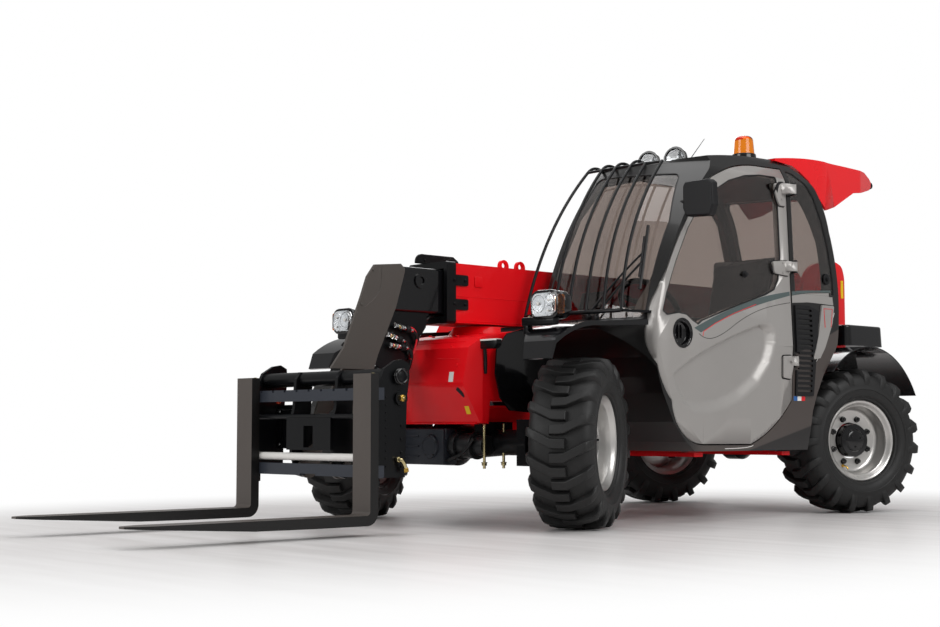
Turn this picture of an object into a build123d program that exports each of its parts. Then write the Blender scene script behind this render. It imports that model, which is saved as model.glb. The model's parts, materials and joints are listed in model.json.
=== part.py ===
from build123d import *
import os
from math import atan2, cos, degrees, hypot, radians, sin

# A compact telescopic handler: one boom section, side cab, fork carriage.
# Millimetres. +X is the machine's left (cab) side, the forks point to -Y, +Z is up.
# Places along the machine are measured from the mid-wheelbase line, MID_Y from the origin.

os.makedirs("parts", exist_ok=True)

# ---------------------------------------------------------------- driving dimensions
MID_Y = 745.0

WHEELBASE = 2300.0
WHEEL_X = 750.0
KINGPIN_X = 580.0
TYRE_RADIUS = 400.0
TYRE_HALF_WIDTH = 155.0
TREAD_HALF_WIDTH = 108.0
RIM_RADIUS = 222.0
FRONT_STEER = 28.0
REAR_STEER = -18.0

BOOM_X = -70.0
BOOM_PIVOT = (1590.0, 1290.0)
BOOM_WIDTH = 270.0
BOOM_BOTTOM = 990.0
BOOM_TOP = 1285.0
BOOM_WALL = 12.0
BOOM_MOUTH = -1260.0
INNER_WIDTH = 224.0
INNER_BOTTOM = 1030.0
INNER_TOP = 1250.0
PLATE = 25.0
TOWER_LEFT = 240.0
TOWER_RIGHT = 2 * BOOM_X - TOWER_LEFT
HEAD_HALF_WIDTH = 127.0
HEAD_PLATE = 15.0

LIFT_BASE = (1247.0, 573.0)
LIFT_EYE = (250.0, 905.0)
TILT_PIVOT = (-1960.0, 290.0)
TILT_BASE = (-1540.0, 800.0)
TILT_EYE = (-1980.0, 430.0)

FORK_FACE = -2100.0
FORK_TIP = -3280.0
FORK_THICKNESS = 45.0
FORK_WIDTH = 125.0
FORK_TOP = 710.0
FORK_CENTRES = {"left": 390.0, "right": -520.0}

CAB_RIGHT = 120.0
CAB_FLOOR = 600.0
CAB_WALL = 38.0
GLASS_INSET = 4.0
GLASS_THICKNESS = 6.0
DOOR_GAP = 7.0
HINGE_X = 852.0
HINGE_Y = 478.0
HINGE_HEIGHTS = (824.0, 1328.0, 1745.0)

CORNERS = (("front", "left"), ("front", "right"), ("rear", "left"), ("rear", "right"))


def side(x):
    """Plane seen from the machine's left: local x runs along the machine, local y is height."""
    return Plane(origin=(x, MID_Y, 0), x_dir=(0, 1, 0), z_dir=(1, 0, 0))


def level(z):
    """Horizontal plane at height z: local x is the machine's X, local y runs along it."""
    return Plane(origin=(0, MID_Y, z), x_dir=(1, 0, 0), z_dir=(0, 0, 1))


def facing(y):
    """Upright plane across the machine at y, its normal pointing forwards (-Y)."""
    return Plane(origin=(0, MID_Y + y, 0), x_dir=(1, 0, 0), z_dir=(0, -1, 0))


def write(part, name):
    """Label a finished piece and write its STEP file."""
    part.label = name
    export_step(part, f"parts/{name}.step")


# ---------------------------------------------------------------- chassis
FRAME_BOTTOM = 345.0
FRAME_TOP = 560.0
TOWER_RADIUS = 185.0
PIVOT_CAP = 60.0
LIFT_CAP = 45.0

for flank_name, outer, direction in (("left", TOWER_LEFT, -1), ("right", TOWER_RIGHT, 1)):
    with BuildPart() as tower_plate:
        with BuildSketch(side(outer)) as plate:
            with BuildLine():
                Polyline(
                    (1775, 1290), (1785, 1010), (1690, 905), (1690, 560), (1560, 500),
                    (860, 500), (760, FRAME_BOTTOM),
                    (-800, FRAME_BOTTOM), (-880, 500), (-1270, 500), (-1270, FRAME_TOP),
                    (-700, FRAME_TOP + 30), (900, FRAME_TOP + 30), (1405, 1290),
                )
                RadiusArc((1405, 1290), (1775, 1290), TOWER_RADIUS)
            make_face()
        extrude(amount=direction * PLATE)
        # caps of the boom pivot pin and the lift cylinder pin
        for centre, cap in ((BOOM_PIVOT, PIVOT_CAP), (LIFT_BASE, LIFT_CAP)):
            with BuildSketch(side(outer)):
                with Locations(centre):
                    Circle(cap)
            extrude(amount=-direction * 14)
    write(tower_plate.part, f"tower_plate_{flank_name}")

with BuildPart() as chassis_frame:
    between = TOWER_LEFT - TOWER_RIGHT - 2 * PLATE
    inner_face = side(TOWER_RIGHT + PLATE)
    # cross members: front, belly, rear
    with BuildSketch(inner_face) as cross:
        with Locations((-1240, 530), (-250, 360), (480, 360)):
            Rectangle(60, 30)
        with Locations((1672, 760)):
            Rectangle(30, 300)
    extrude(amount=between)
    # boom pivot pin and lift cylinder pin run from plate to plate
    for centre, radius in ((BOOM_PIVOT, 35), (LIFT_BASE, 25)):
        with BuildSketch(inner_face):
            with Locations(centre):
                Circle(radius)
        extrude(amount=between)
    # outriggers that carry the cab and the engine tray, with a pad at each end
    with BuildSketch(level(325)):
        with Locations((0, -250), (0, 480)):
            Rectangle(1540, 70)
    extrude(amount=20)
    with BuildSketch(level(345)):
        with Locations((500, -250), (500, 480), (-580, -250), (-580, 480)):
            Rectangle(360, 60)
    extrude(amount=8)
write(chassis_frame.part, "chassis_frame")

with BuildPart() as counterweight:
    with BuildSketch(level(470)):
        with BuildLine():
            Polyline(
                (BOOM_X - 480, 1692), (BOOM_X - 480, 1760), (BOOM_X - 430, 1790),
                (BOOM_X + 430, 1790), (BOOM_X + 480, 1760), (BOOM_X + 480, 1692),
                (BOOM_X - 480, 1692),
            )
        make_face()
    extrude(amount=430)
write(counterweight.part, "counterweight")


# ---------------------------------------------------------------- axles, knuckles and wheels
AXLE_Z = TYRE_RADIUS
YOKE_GAP = 76.0
KNUCKLE_HALF = 73.0

for end, sign in (("front", -1), ("rear", 1)):
    axle_y = sign * WHEELBASE / 2
    across = Plane(origin=(0, MID_Y + axle_y, AXLE_Z), x_dir=(1, 0, 0), z_dir=(0, -1, 0))
    with BuildPart() as axle:
        # housing: differential bulge in the middle, tapering tubes to the yokes
        with BuildSketch(across):
            with BuildLine():
                Polyline(
                    (-505, 0), (-505, 62), (-330, 62), (-170, 85), (-120, 118), (-30, 118),
                    (20, 85), (330, 62), (505, 62), (505, 0), (-505, 0),
                )
            make_face()
        revolve(axis=Axis((0, MID_Y + axle_y, AXLE_Z), (1, 0, 0)), revolution_arc=360)
        # mounting pads up to the frame plates
        for x in (TOWER_LEFT - PLATE / 2, TOWER_RIGHT + PLATE / 2):
            with BuildSketch(Plane(origin=(x, MID_Y + axle_y, AXLE_Z))):
                Rectangle(70, 190)
            extrude(amount=99)
        for flank in (-1, 1):
            with BuildSketch(Plane(origin=(0, MID_Y + axle_y, AXLE_Z - 110))):
                with Locations((flank * 522, 0)):
                    Rectangle(145, 120)
                with Locations((flank * KINGPIN_X, 0)):
                    Circle(60)
            extrude(amount=220)
            with BuildSketch(Plane(origin=(0, MID_Y + axle_y, AXLE_Z - YOKE_GAP))):
                with Locations((flank * (KINGPIN_X + 18), 0)):
                    Rectangle(180, 160)
            extrude(amount=2 * YOKE_GAP, mode=Mode.SUBTRACT)
            # kingpin
            with BuildSketch(Plane(origin=(flank * KINGPIN_X, MID_Y + axle_y, AXLE_Z - 118))):
                Circle(22)
            extrude(amount=236)
        # steering cylinder across the back of the housing
        with BuildSketch(Plane(origin=(-170, MID_Y + axle_y - sign * 100, AXLE_Z), x_dir=(0, 1, 0),
                               z_dir=(1, 0, 0))):
            Circle(34)
        extrude(amount=340)
        with BuildSketch(Plane(origin=(0, MID_Y + axle_y - sign * 75, AXLE_Z - 30))):
            with Locations((-140, 0), (140, 0)):
                Rectangle(24, 60)
        extrude(amount=60)
    write(axle.part, f"{end}_axle")

for end, flank_name in CORNERS:
    sign = -1 if end == "front" else 1
    flank = 1 if flank_name == "left" else -1
    steer = radians(FRONT_STEER if end == "front" else REAR_STEER)
    spin_dir = (cos(steer), sin(steer), 0)
    king = (flank * KINGPIN_X, MID_Y + sign * WHEELBASE / 2, AXLE_Z)
    offset_out = flank * (WHEEL_X - KINGPIN_X)
    centre = (king[0] + offset_out * cos(steer), king[1] + offset_out * sin(steer), AXLE_Z)
    spin_axis = Axis(centre, spin_dir)
    # local x points out of the machine along the spin axis, local y is up
    section = Plane(
        origin=centre, x_dir=(flank * cos(steer), flank * sin(steer), 0),
        z_dir=(flank * sin(steer), -flank * cos(steer), 0),
    )
    knuckle_plane = Plane(
        origin=(king[0], king[1], AXLE_Z - KNUCKLE_HALF),
        x_dir=(flank * cos(steer), flank * sin(steer), 0), z_dir=(0, 0, 1),
    )

    with BuildPart() as knuckle:
        with BuildSketch(knuckle_plane):
            Circle(50)
        extrude(amount=2 * KNUCKLE_HALF)
        spindle_plane = Plane(origin=king, x_dir=(0, 0, 1), z_dir=section.x_dir)
        with BuildSketch(spindle_plane):
            Circle(46)
        extrude(amount=108)
        with BuildSketch(spindle_plane.offset(84)):
            Circle(88)
        extrude(amount=22)
        with BuildSketch(knuckle_plane.offset(KNUCKLE_HALF - 12)):
            with Locations((0, flank * sign * -70)):
                Rectangle(38, 120)
        extrude(amount=24)
        with BuildSketch(knuckle_plane):
            Circle(23)
        extrude(amount=2 * KNUCKLE_HALF, mode=Mode.SUBTRACT)
    write(knuckle.part, f"knuckle_{end}_{flank_name}")

    with BuildPart() as rim:
        with BuildSketch(section):
            with BuildLine():
                # half section from the inner flange to the outer flange, then back inside
                Polyline(
                    (-118, RIM_RADIUS), (-112, RIM_RADIUS), (-106, 205), (-60, 190), (60, 190),
                    (106, 205), (112, RIM_RADIUS), (118, RIM_RADIUS), (116, 200), (70, 181),
                    (34, 176), (22, 160), (22, 96), (66, 92), (70, 60), (78, 54), (78, 0),
                    (-56, 0), (-56, 92), (10, 96), (10, 166), (24, 181), (-66, 181), (-116, 200),
                    (-118, RIM_RADIUS),
                )
            make_face()
        revolve(axis=spin_axis, revolution_arc=360)
    write(rim.part, f"rim_{end}_{flank_name}")

    with BuildPart() as tyre:
        with BuildSketch(section):
            with BuildLine():
                Polyline(
                    (-123, 226), (-109, 226), (-103, 209), (-60, 194), (60, 194), (103, 209),
                    (109, 226), (123, 226),
                )
                ThreePointArc((123, 226), (TYRE_HALF_WIDTH, 305), (132, 378))
                Polyline(
                    (132, 378), (TREAD_HALF_WIDTH, 396), (60, TYRE_RADIUS), (-60, TYRE_RADIUS),
                    (-TREAD_HALF_WIDTH, 396), (-132, 378),
                )
                ThreePointArc((-132, 378), (-TYRE_HALF_WIDTH, 305), (-123, 226))
            make_face()
        revolve(axis=spin_axis, revolution_arc=360)
    write(tyre.part, f"tyre_{end}_{flank_name}")


# ---------------------------------------------------------------- cab
CAB_AXIS = (350.0, 460.0)


def cab_form(inset):
    """Outer form of the cab, pulled in by inset: side profile, front profile and a windscreen
    that is a surface of revolution about an upright axis inside the cab."""
    with BuildPart() as form:
        with BuildSketch(side(0)) as profile:
            with BuildLine():
                Polyline(
                    (-330, 353), (615, 353), (640, 460), (655, 560), (690, 650), (746, 757),
                    (873, 926),
                )
                ThreePointArc((873, 926), (904, 1240), (844, 1551))
                ThreePointArc((844, 1551), (730, 1775), (492, 1915))
                ThreePointArc((492, 1915), (110, 1898), (-310, 1838))
                Polyline(
                    (-310, 1838), (-800, 1500), (-800, 1000), (-725, 960), (-655, 815),
                    (-620, 720), (-585, 640), (-500, 500), (-400, 400), (-330, 353),
                )
            make_face()
            if inset:
                offset(amount=-inset, kind=Kind.INTERSECTION)
        extrude(amount=1000)
        with BuildSketch(facing(-1000)) as front:
            with BuildLine() as outline:
                Polyline(
                    (255, 353), (815, 353), (842, 900), (808, 1790), (735, 1930), (120, 1960),
                    (120, 600), (255, 600), (255, 353),
                )
            make_face()
            fillet(front.vertices().sort_by(Axis.Y)[-3:-1], radius=90)
            if inset:
                offset(amount=-inset, kind=Kind.INTERSECTION)
        extrude(amount=-2200, mode=Mode.INTERSECT)
        with BuildSketch(side(CAB_AXIS[0])) as screen:
            with BuildLine():
                Line((CAB_AXIS[1], 300), (-738 + inset, 300))
                Line((-738 + inset, 300), (-738 + inset, 1000))
                ThreePointArc((-738 + inset, 1000), (-592 + inset, 1400), (-285 + inset, 1838))
                Polyline(
                    (-285 + inset, 1838), (-285 + inset, 2000), (CAB_AXIS[1], 2000),
                    (CAB_AXIS[1], 300),
                )
            make_face()
        axis = Axis((CAB_AXIS[0], MID_Y + CAB_AXIS[1], 0), (0, 0, 1))
        revolve(axis=axis, revolution_arc=360, mode=Mode.INTERSECT)
    return form.part


def door_outline(grow):
    """Prism of the door's outline in side view, grown by grow, through the left wall."""
    with BuildPart() as prism:
        with BuildSketch(side(600)):
            with BuildLine():
                Polyline((460, 620), (460, 1859), (300, 1853))
                ThreePointArc((300, 1853), (-20, 1806), (-175, 1742))
                ThreePointArc((-175, 1742), (-425, 1446), (-604, 1127))
                ThreePointArc((-604, 1127), (-652, 900), (-514, 606))
                ThreePointArc((-514, 606), (-415, 440), (-272, 390))
                Line((-272, 390), (117, 388))
                ThreePointArc((117, 388), (290, 470), (460, 620))
            make_face()
            if grow:
                offset(amount=grow, kind=Kind.INTERSECTION)
        extrude(amount=400)
    return prism.part


def prism_from_side(points, x0, depth, radius=0.0, grow=0.0):
    """Prism of a closed side-view outline, its corners rounded."""
    with BuildPart() as prism:
        with BuildSketch(side(x0)) as sketch:
            with BuildLine():
                Polyline(*points, close=True)
            make_face()
            if radius:
                fillet(sketch.vertices(), radius=radius)
            if grow:
                offset(amount=grow)
        extrude(amount=depth)
    return prism.part


def prism_from_front(points, y0, depth, radius=0.0, grow=0.0):
    """Prism of a closed front-view outline running back from y0, its corners rounded."""
    with BuildPart() as prism:
        with BuildSketch(facing(y0)) as sketch:
            with BuildLine():
                Polyline(*points, close=True)
            make_face()
            if radius:
                fillet(sketch.vertices(), radius=radius)
            if grow:
                offset(amount=grow)
        extrude(amount=-depth)
    return prism.part


# window openings: name -> (view, start, depth, corner radius, outline)
DOOR_WINDOW = (
    (-592, 1040), (-560, 1128), (-480, 1290), (-375, 1466), (-290, 1572), (-150, 1682),
    (-30, 1745), (110, 1785), (240, 1802), (384, 1806), (384, 1372), (356, 1250), (320, 1198),
    (245, 1167), (-38, 1084), (-290, 1006), (-325, 984), (-368, 1003), (-412, 1030),
    (-472, 1036), (-560, 1022),
)
WINDOWS = {
    "windscreen": ("front", -900, 700, 40,
                   ((150, 1005), (150, 1795), (688, 1765), (762, 1500), (778, 1005))),
    "quarter_window": ("side", 640, 300, 12,
                       ((500, 1190), (500, 1858), (570, 1846), (650, 1798), (716, 1730),
                        (785, 1600), (832, 1450), (860, 1285), (860, 1190))),
    "rear_window": ("back", 500, 600, 40,
                    ((190, 1120), (190, 1760), (690, 1740), (740, 1500), (740, 1120))),
    "right_window": ("side", 60, 120, 40,
                     ((-668, 1062), (-580, 1300), (-436, 1560), (-250, 1762), (60, 1832),
                      (560, 1826), (740, 1640), (812, 1400), (840, 1180), (840, 1080))),
}


def window_prism(name, grow=0.0):
    """Cutter of a named window, grown by grow."""
    view, start, depth, radius, points = WINDOWS[name]
    if view == "side":
        return prism_from_side(points, start, depth, radius=radius, grow=grow)
    return prism_from_front(points, start, depth, radius=radius, grow=grow)


cab_outer = cab_form(0)
cab_inner = cab_form(CAB_WALL)
glass_outer = cab_form(GLASS_INSET)
glass_inner = cab_form(GLASS_INSET + GLASS_THICKNESS)

door_zone = door_outline(0)
door_opening = door_outline(DOOR_GAP)
door_window_cut = prism_from_side(DOOR_WINDOW, 600, 400, radius=10)

with BuildPart() as cab_frame:
    add(cab_outer)
    add(cab_inner, mode=Mode.SUBTRACT)
    add(door_opening, mode=Mode.SUBTRACT)
    for window in WINDOWS:
        add(window_prism(window), mode=Mode.SUBTRACT)
    # floor slab
    with BuildSketch(level(CAB_FLOOR + 4)):
        with Locations((440, 40)):
            Rectangle(590, 1070)
    extrude(amount=30)
    # hinge lugs above and below each barrel of the door, with the pin between them
    for height in HINGE_HEIGHTS:
        for z in (height - 34, height + 27):
            with BuildSketch(level(z)):
                with BuildLine():
                        Polyline((842, 478), (863, 478), (852, 498), (792, 498), (792, 486),
                             (842, 478))
                make_face()
                with Locations((HINGE_X, HINGE_Y)):
                    Circle(12)
            extrude(amount=7)
        with BuildSketch(level(height - 34)):
            with Locations((HINGE_X, HINGE_Y)):
                Circle(6)
        extrude(amount=68)
write(cab_frame.part, "cab_frame")

with BuildPart() as door:
    add(cab_outer)
    add(cab_inner, mode=Mode.SUBTRACT)
    add(door_zone, mode=Mode.INTERSECT)
    add(door_window_cut, mode=Mode.SUBTRACT)
    # hinge arms and barrels
    for height in HINGE_HEIGHTS:
        with BuildSketch(level(height - 25)):
            with BuildLine():
                Polyline((844, 476), (863, 476), (852, 405), (796, 405), (796, 452), (841, 452),
                         (844, 476))
            make_face()
            with Locations((HINGE_X, HINGE_Y)):
                Circle(12)
        extrude(amount=50)
        with BuildSketch(level(height - 25)):
            with Locations((HINGE_X, HINGE_Y)):
                Circle(6.5)
        extrude(amount=50, mode=Mode.SUBTRACT)
write(door.part, "door")

with BuildPart() as door_glass:
    add(glass_outer)
    add(glass_inner, mode=Mode.SUBTRACT)
    add(door_window_cut, mode=Mode.INTERSECT)
write(door_glass.part, "door_glass")

for window in WINDOWS:
    with BuildPart() as pane:
        add(glass_outer)
        add(glass_inner, mode=Mode.SUBTRACT)
        add(window_prism(window), mode=Mode.INTERSECT)
    write(pane.part, window)


# louvred vent and blade-shaped trim behind the door, laid on the cab's skin
LOUVRE = ((486, 1126), (613, 1126), (700, 1102), (664, 842), (648, 640), (486, 640))
BLADE = ((733, 1137), (846, 1137), (824, 1041), (748, 912), (700, 846), (636, 838),
         (690, 976))
LOUVRE_PITCH = 27.0
skin_outer = cab_form(-9)

with BuildPart() as cab_louvre:
    add(skin_outer)
    add(cab_outer, mode=Mode.SUBTRACT)
    add(prism_from_side(LOUVRE, 600, 400, radius=8), mode=Mode.INTERSECT)
    # slats: every second band is cut back, leaving the border
    for step in range(17):
        with BuildSketch(side(600)):
            with Locations((566, 668 + LOUVRE_PITCH * step)):
                Rectangle(132, 13)
        extrude(amount=400, mode=Mode.SUBTRACT)
    # clear of the lowest door hinge and of the trim blade
    with BuildSketch(side(600)):
        with Locations((496, 824)):
            Rectangle(30, 96)
    extrude(amount=400, mode=Mode.SUBTRACT)
    add(prism_from_side(BLADE, 600, 400, grow=4), mode=Mode.SUBTRACT)
write(cab_louvre.part, "cab_louvre")

with BuildPart() as cab_blade:
    add(skin_outer)
    add(cab_outer, mode=Mode.SUBTRACT)
    add(prism_from_side(BLADE, 600, 400, radius=8), mode=Mode.INTERSECT)
write(cab_blade.part, "cab_blade")


# ---------------------------------------------------------------- cab inside and fittings
with BuildPart() as seat:
    with BuildSketch(side(300)) as seat_side:
        with BuildLine():
            Polyline(
                (60, 634), (420, 634), (420, 900), (520, 1400), (430, 1430), (330, 990),
                (-60, 980), (-70, 880), (60, 850), close=True,
            )
        make_face()
        fillet(seat_side.vertices(), radius=25)
    extrude(amount=440)
    fillet(seat.edges().filter_by(Axis.Y).sort_by(Axis.Z)[-1:], radius=10)
write(seat.part, "seat")

with BuildPart() as dashboard:
    with BuildSketch(side(170)) as dash_side:
        with BuildLine():
            Polyline(
                (-560, 634), (-470, 634), (-400, 1060), (-520, 1080), (-640, 1010), (-610, 830),
                (-570, 760), close=True,
            )
        make_face()
        fillet(dash_side.vertices().sort_by(Axis.Y)[-2:], radius=30)
    extrude(amount=520)
    add(cab_form(CAB_WALL + 1), mode=Mode.INTERSECT)
write(dashboard.part, "dashboard")

COLUMN_FOOT = (-430, 950)
COLUMN_HEAD = (-260, 1100)
with BuildPart() as steering_wheel:
    column = Plane(
        origin=(470, MID_Y + COLUMN_FOOT[0], COLUMN_FOOT[1]), x_dir=(1, 0, 0),
        z_dir=(0, COLUMN_HEAD[0] - COLUMN_FOOT[0], COLUMN_HEAD[1] - COLUMN_FOOT[1]),
    )
    reach = hypot(COLUMN_HEAD[0] - COLUMN_FOOT[0], COLUMN_HEAD[1] - COLUMN_FOOT[1])
    with BuildSketch(column):
        Circle(28)
    extrude(amount=reach)
    with BuildSketch(column.offset(reach - 12)):
        Circle(45)
        for angle in (90, 210, 330):
            with Locations(Location((0, 0), angle)):
                with Locations((90, 0)):
                    Rectangle(150, 26)
    extrude(amount=10)
    torus_plane = Plane(origin=column.offset(reach - 7).origin, x_dir=column.x_dir,
                        z_dir=column.z_dir)
    with Locations(torus_plane):
        Torus(170, 15)
    add(dashboard.part, mode=Mode.SUBTRACT)
write(steering_wheel.part, "steering_wheel")

# upright bars in front of the windscreen: foot x, top x, loops over onto the roof
GUARD_BARS = (
    (130, 145, True), (350, 254, True), (444, 353, True), (552, 457, True),
    (658, 550, False), (760, 650, False),
)


def guard_point(x, y, z):
    """Point of the guard, which follows the windscreen's curve across the machine."""
    return (x, MID_Y + y + 0.00022 * (x - 350) ** 2, z)


with BuildPart() as windscreen_guard:
    for foot_x, top_x, loops in GUARD_BARS:
        with BuildLine() as path:
            bar = ThreePointArc(
                guard_point(foot_x, -845, 1035),
                guard_point(foot_x + 0.55 * (top_x - foot_x), -668, 1465),
                guard_point(top_x, -385, 1828),
            )
            if loops:
                roof_point = guard_point(top_x, -268, 1838)
                TangentArc(bar @ 1, roof_point, tangent=bar % 1)
        with BuildSketch(Plane(origin=bar @ 0, z_dir=bar % 0)):
            Circle(8)
        sweep(path=path.wire())
    for left, right, y, z, radius in ((760, 130, -845, 1035, 10), (650, 145, -388, 1824, 7)):
        with BuildLine() as tie:
            rail = ThreePointArc(
                guard_point(left, y, z), guard_point((left + right) / 2, y, z),
                guard_point(right, y, z),
            )
        with BuildSketch(Plane(origin=rail @ 0, z_dir=rail % 0)):
            Circle(radius)
        sweep(path=tie.wire())
    # feet that bolt the guard to the cab's front corners
    for corners in (((748, -808), (772, -808), (812, -600), (780, -600)),
                    ((126, -838), (146, -838), (176, -690), (146, -690))):
        with BuildSketch(level(1029)):
            with BuildLine():
                Polyline(*corners, close=True)
            make_face()
        extrude(amount=12)
    add(cab_outer, mode=Mode.SUBTRACT)
write(windscreen_guard.part, "windscreen_guard")

# lamps on the roof: x, y, height of the centre
WORK_LIGHTS = ((250, -8, 1937), (415, -52, 1927))

with BuildPart() as work_lights:
    for x, y, z in WORK_LIGHTS:
        lamp = Plane(origin=(x, MID_Y + y, z), x_dir=(1, 0, 0), z_dir=(0, -1, 0))
        with BuildSketch(lamp):
            Circle(46)
        extrude(amount=-52, taper=14)
        with BuildSketch(lamp):
            Circle(40)
        extrude(amount=-10, mode=Mode.SUBTRACT)
        with BuildSketch(level(1870)):
            with Locations((x, y + 26)):
                Rectangle(26, 22)
        extrude(amount=z - 1870)
    add(cab_outer, mode=Mode.SUBTRACT)
write(work_lights.part, "work_lights")

BEACON = (650, 310)
with BuildPart() as beacon:
    with BuildSketch(level(1880)):
        with Locations(BEACON):
            Circle(70)
    extrude(amount=54, taper=6)
    add(cab_outer, mode=Mode.SUBTRACT)
write(beacon.part, "beacon_base")

with BuildPart() as beacon_lens:
    with BuildSketch(level(1934)):
        with Locations(BEACON):
            Circle(57)
    extrude(amount=104, taper=5)
    fillet(beacon_lens.faces().sort_by(Axis.Z)[-1].edges(), radius=26)
write(beacon_lens.part, "beacon_lens")

COWL_RIGHT = 215.0
COWL_LEFT = 758.0
COWL_SHEET = 12.0
with BuildPart() as roof_cowl:
    with BuildSketch(side(COWL_RIGHT)):
        with BuildLine():
            cowl_top = Spline((440, 1922), (606, 1942), (835, 1956), (1042, 1950), (1228, 1930))
            Polyline(cowl_top @ 1, (1286, 1900), (1325, 1866), (1284, 1831), (1191, 1808),
                     (1129, 1802), (991, 1709), (916, 1684), (866, 1722), (745, 1830),
                     (661, 1872), (591, 1898), (440, 1908), (440, 1922))
        make_face()
    extrude(amount=COWL_LEFT - COWL_RIGHT)
    # plan: narrows and rounds off towards the tail
    with BuildSketch(level(1600)) as cowl_plan:
        with BuildLine():
            Polyline((205, 420), (762, 420), (756, 900), (716, 1180), (640, 1330), (330, 1330),
                     (252, 1180), (212, 900), close=True)
        make_face()
        fillet(cowl_plan.vertices().sort_by(Axis.Y)[-4:], radius=50)
    extrude(amount=420, mode=Mode.INTERSECT)
    # hollow, open underneath
    with BuildSketch(level(1600)) as cowl_hollow:
        with BuildLine():
            Polyline((217, 560), (748, 560), (742, 895), (704, 1170), (630, 1310), (342, 1310),
                     (264, 1170), (226, 895), close=True)
        make_face()
    extrude(amount=316, mode=Mode.SUBTRACT)
    add(cab_outer, mode=Mode.SUBTRACT)
write(roof_cowl.part, "roof_cowl")

with BuildPart() as mirror:
    with BuildSketch(facing(-424)) as mirror_face:
        with BuildLine():
            Polyline((846, 1516), (996, 1508), (1016, 1560), (1012, 1672), (990, 1690),
                     (842, 1690), (828, 1670), (826, 1560), close=True)
        make_face()
        fillet(mirror_face.vertices(), radius=12)
    extrude(amount=-44)
    fillet(mirror.faces().sort_by(Axis.Y)[0].edges(), radius=10)
    # arm from the windscreen pillar
    with BuildSketch(side(770)):
        with Locations((-362, 1600)):
            Circle(11)
    extrude(amount=90)
    with BuildSketch(level(1589)):
        with BuildLine():
            Polyline((838, -384), (866, -384), (866, -352), (838, -352), close=True)
        make_face()
    extrude(amount=22)
    add(cab_outer, mode=Mode.SUBTRACT)
write(mirror.part, "mirror_left")


# ---------------------------------------------------------------- engine side and bodywork
HOOD_HINGE = (-395.0, 1128.0)
HOOD_BOTTOM = 622.0
HOOD_HINGES = (-300.0, 400.0)

with BuildPart() as engine_block:
    with BuildSketch(level(560)):
        with Locations((-600, 40)):
            Rectangle(320, 860)
    extrude(amount=420)
write(engine_block.part, "engine_block")

with BuildPart() as engine_tray:
    with BuildSketch(side(-845)):
        with BuildLine():
            Polyline(
                (-330, 353), (600, 353), (640, 460), (655, 560), (680, 616), (-570, 616),
                (-500, 500), (-400, 400), close=True,
            )
        make_face()
    extrude(amount=845 - 400)
    with BuildSketch(level(372)):
        with Locations((-622, 60)):
            Rectangle(410, 1000)
    extrude(amount=400, mode=Mode.SUBTRACT)
write(engine_tray.part, "engine_tray")



def hood_form(inset, drop):
    """Outer form of the engine hood, pulled in by inset and extended down by drop."""
    with BuildPart() as form:
        with BuildSketch(facing(-590 + inset)) as hood_front:
            with BuildLine():
                Polyline(
                    (-400 + 5 * inset, HOOD_BOTTOM - drop), (-850 + inset, HOOD_BOTTOM - drop),
                    (-860 + inset, 980), (-760 + inset / 2, 1120 - inset),
                    (-400 + 5 * inset, 1120 - inset), close=True,
                )
            make_face()
            fillet(hood_front.vertices().sort_by(Axis.X)[1:3], radius=60 - inset)
        extrude(amount=-1270 + 2 * inset)
    return form.part


hood_outer = hood_form(0, 0)
hood_inner = hood_form(6, 20)
with BuildPart() as engine_hood:
    add(hood_outer)
    add(hood_inner, mode=Mode.SUBTRACT)
    # hinge leaves and barrels along the inner top edge
    for y in HOOD_HINGES:
        with BuildSketch(facing(y - 30)):
            with Locations((-425, 1123)):
                Rectangle(60, 6)
            with Locations(HOOD_HINGE):
                Circle(13)
        extrude(amount=-60)
        with BuildSketch(facing(y - 30)):
            with Locations(HOOD_HINGE):
                Circle(8.5)
        extrude(amount=-60, mode=Mode.SUBTRACT)
        # notches in the sheet for the hinge's cheeks
        for start in (y - 50, y + 28):
            with BuildSketch(facing(start)):
                with Locations((-407, 1118)):
                    Rectangle(16, 24)
            extrude(amount=-22, mode=Mode.SUBTRACT)
write(engine_hood.part, "engine_hood")

with BuildPart() as hood_hinges:
    for y in HOOD_HINGES:
        # post on the tower plate, two cheeks and the pin
        with BuildSketch(facing(y - 60)):
            with Locations((-387, 820)):
                Rectangle(14, 560)
        extrude(amount=-120)
        for start in (y - 46, y + 32):
            with BuildSketch(facing(start)):
                with Locations((-391, 1108)):
                    Rectangle(18, 40)
                with Locations(HOOD_HINGE):
                    Circle(13)
            extrude(amount=-14)
        with BuildSketch(facing(y - 46)):
            with Locations(HOOD_HINGE):
                Circle(8)
        extrude(amount=-92)
write(hood_hinges.part, "hood_hinges")

TURRET_Y = -967.0

with BuildPart() as front_apron:
    with BuildSketch(side(BOOM_X - 230)) as apron_side:
        with BuildLine():
            Polyline(
                (-1290, 490), (-1340, 495), (-1420, 680), (-1392, 853), (-1330, 905),
                (-1130, 938), (-1000, 940), (-1000, 600), (-1280, 600), close=True,
            )
        make_face()
        fillet(apron_side.vertices().sort_by(Axis.X)[0], radius=60)
    extrude(amount=640)
    # flanks narrow towards the front so that the steered tyres pass
    for x in (BOOM_X - 230, BOOM_X + 410):
        direction = 1 if x > BOOM_X else -1
        with BuildSketch(level(480)):
            with BuildLine():
                Polyline(
                    (x + direction * 40, -1240), (x + direction * 40, -1460),
                    (x - direction * 60, -1460), close=True,
                )
            make_face()
        extrude(amount=500, mode=Mode.SUBTRACT)
    # round turret on which the boom comes to rest
    with BuildSketch(level(885)):
        with Locations((BOOM_X, TURRET_Y)):
            Circle(200)
    extrude(amount=96, taper=34)
write(front_apron.part, "front_apron")

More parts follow.
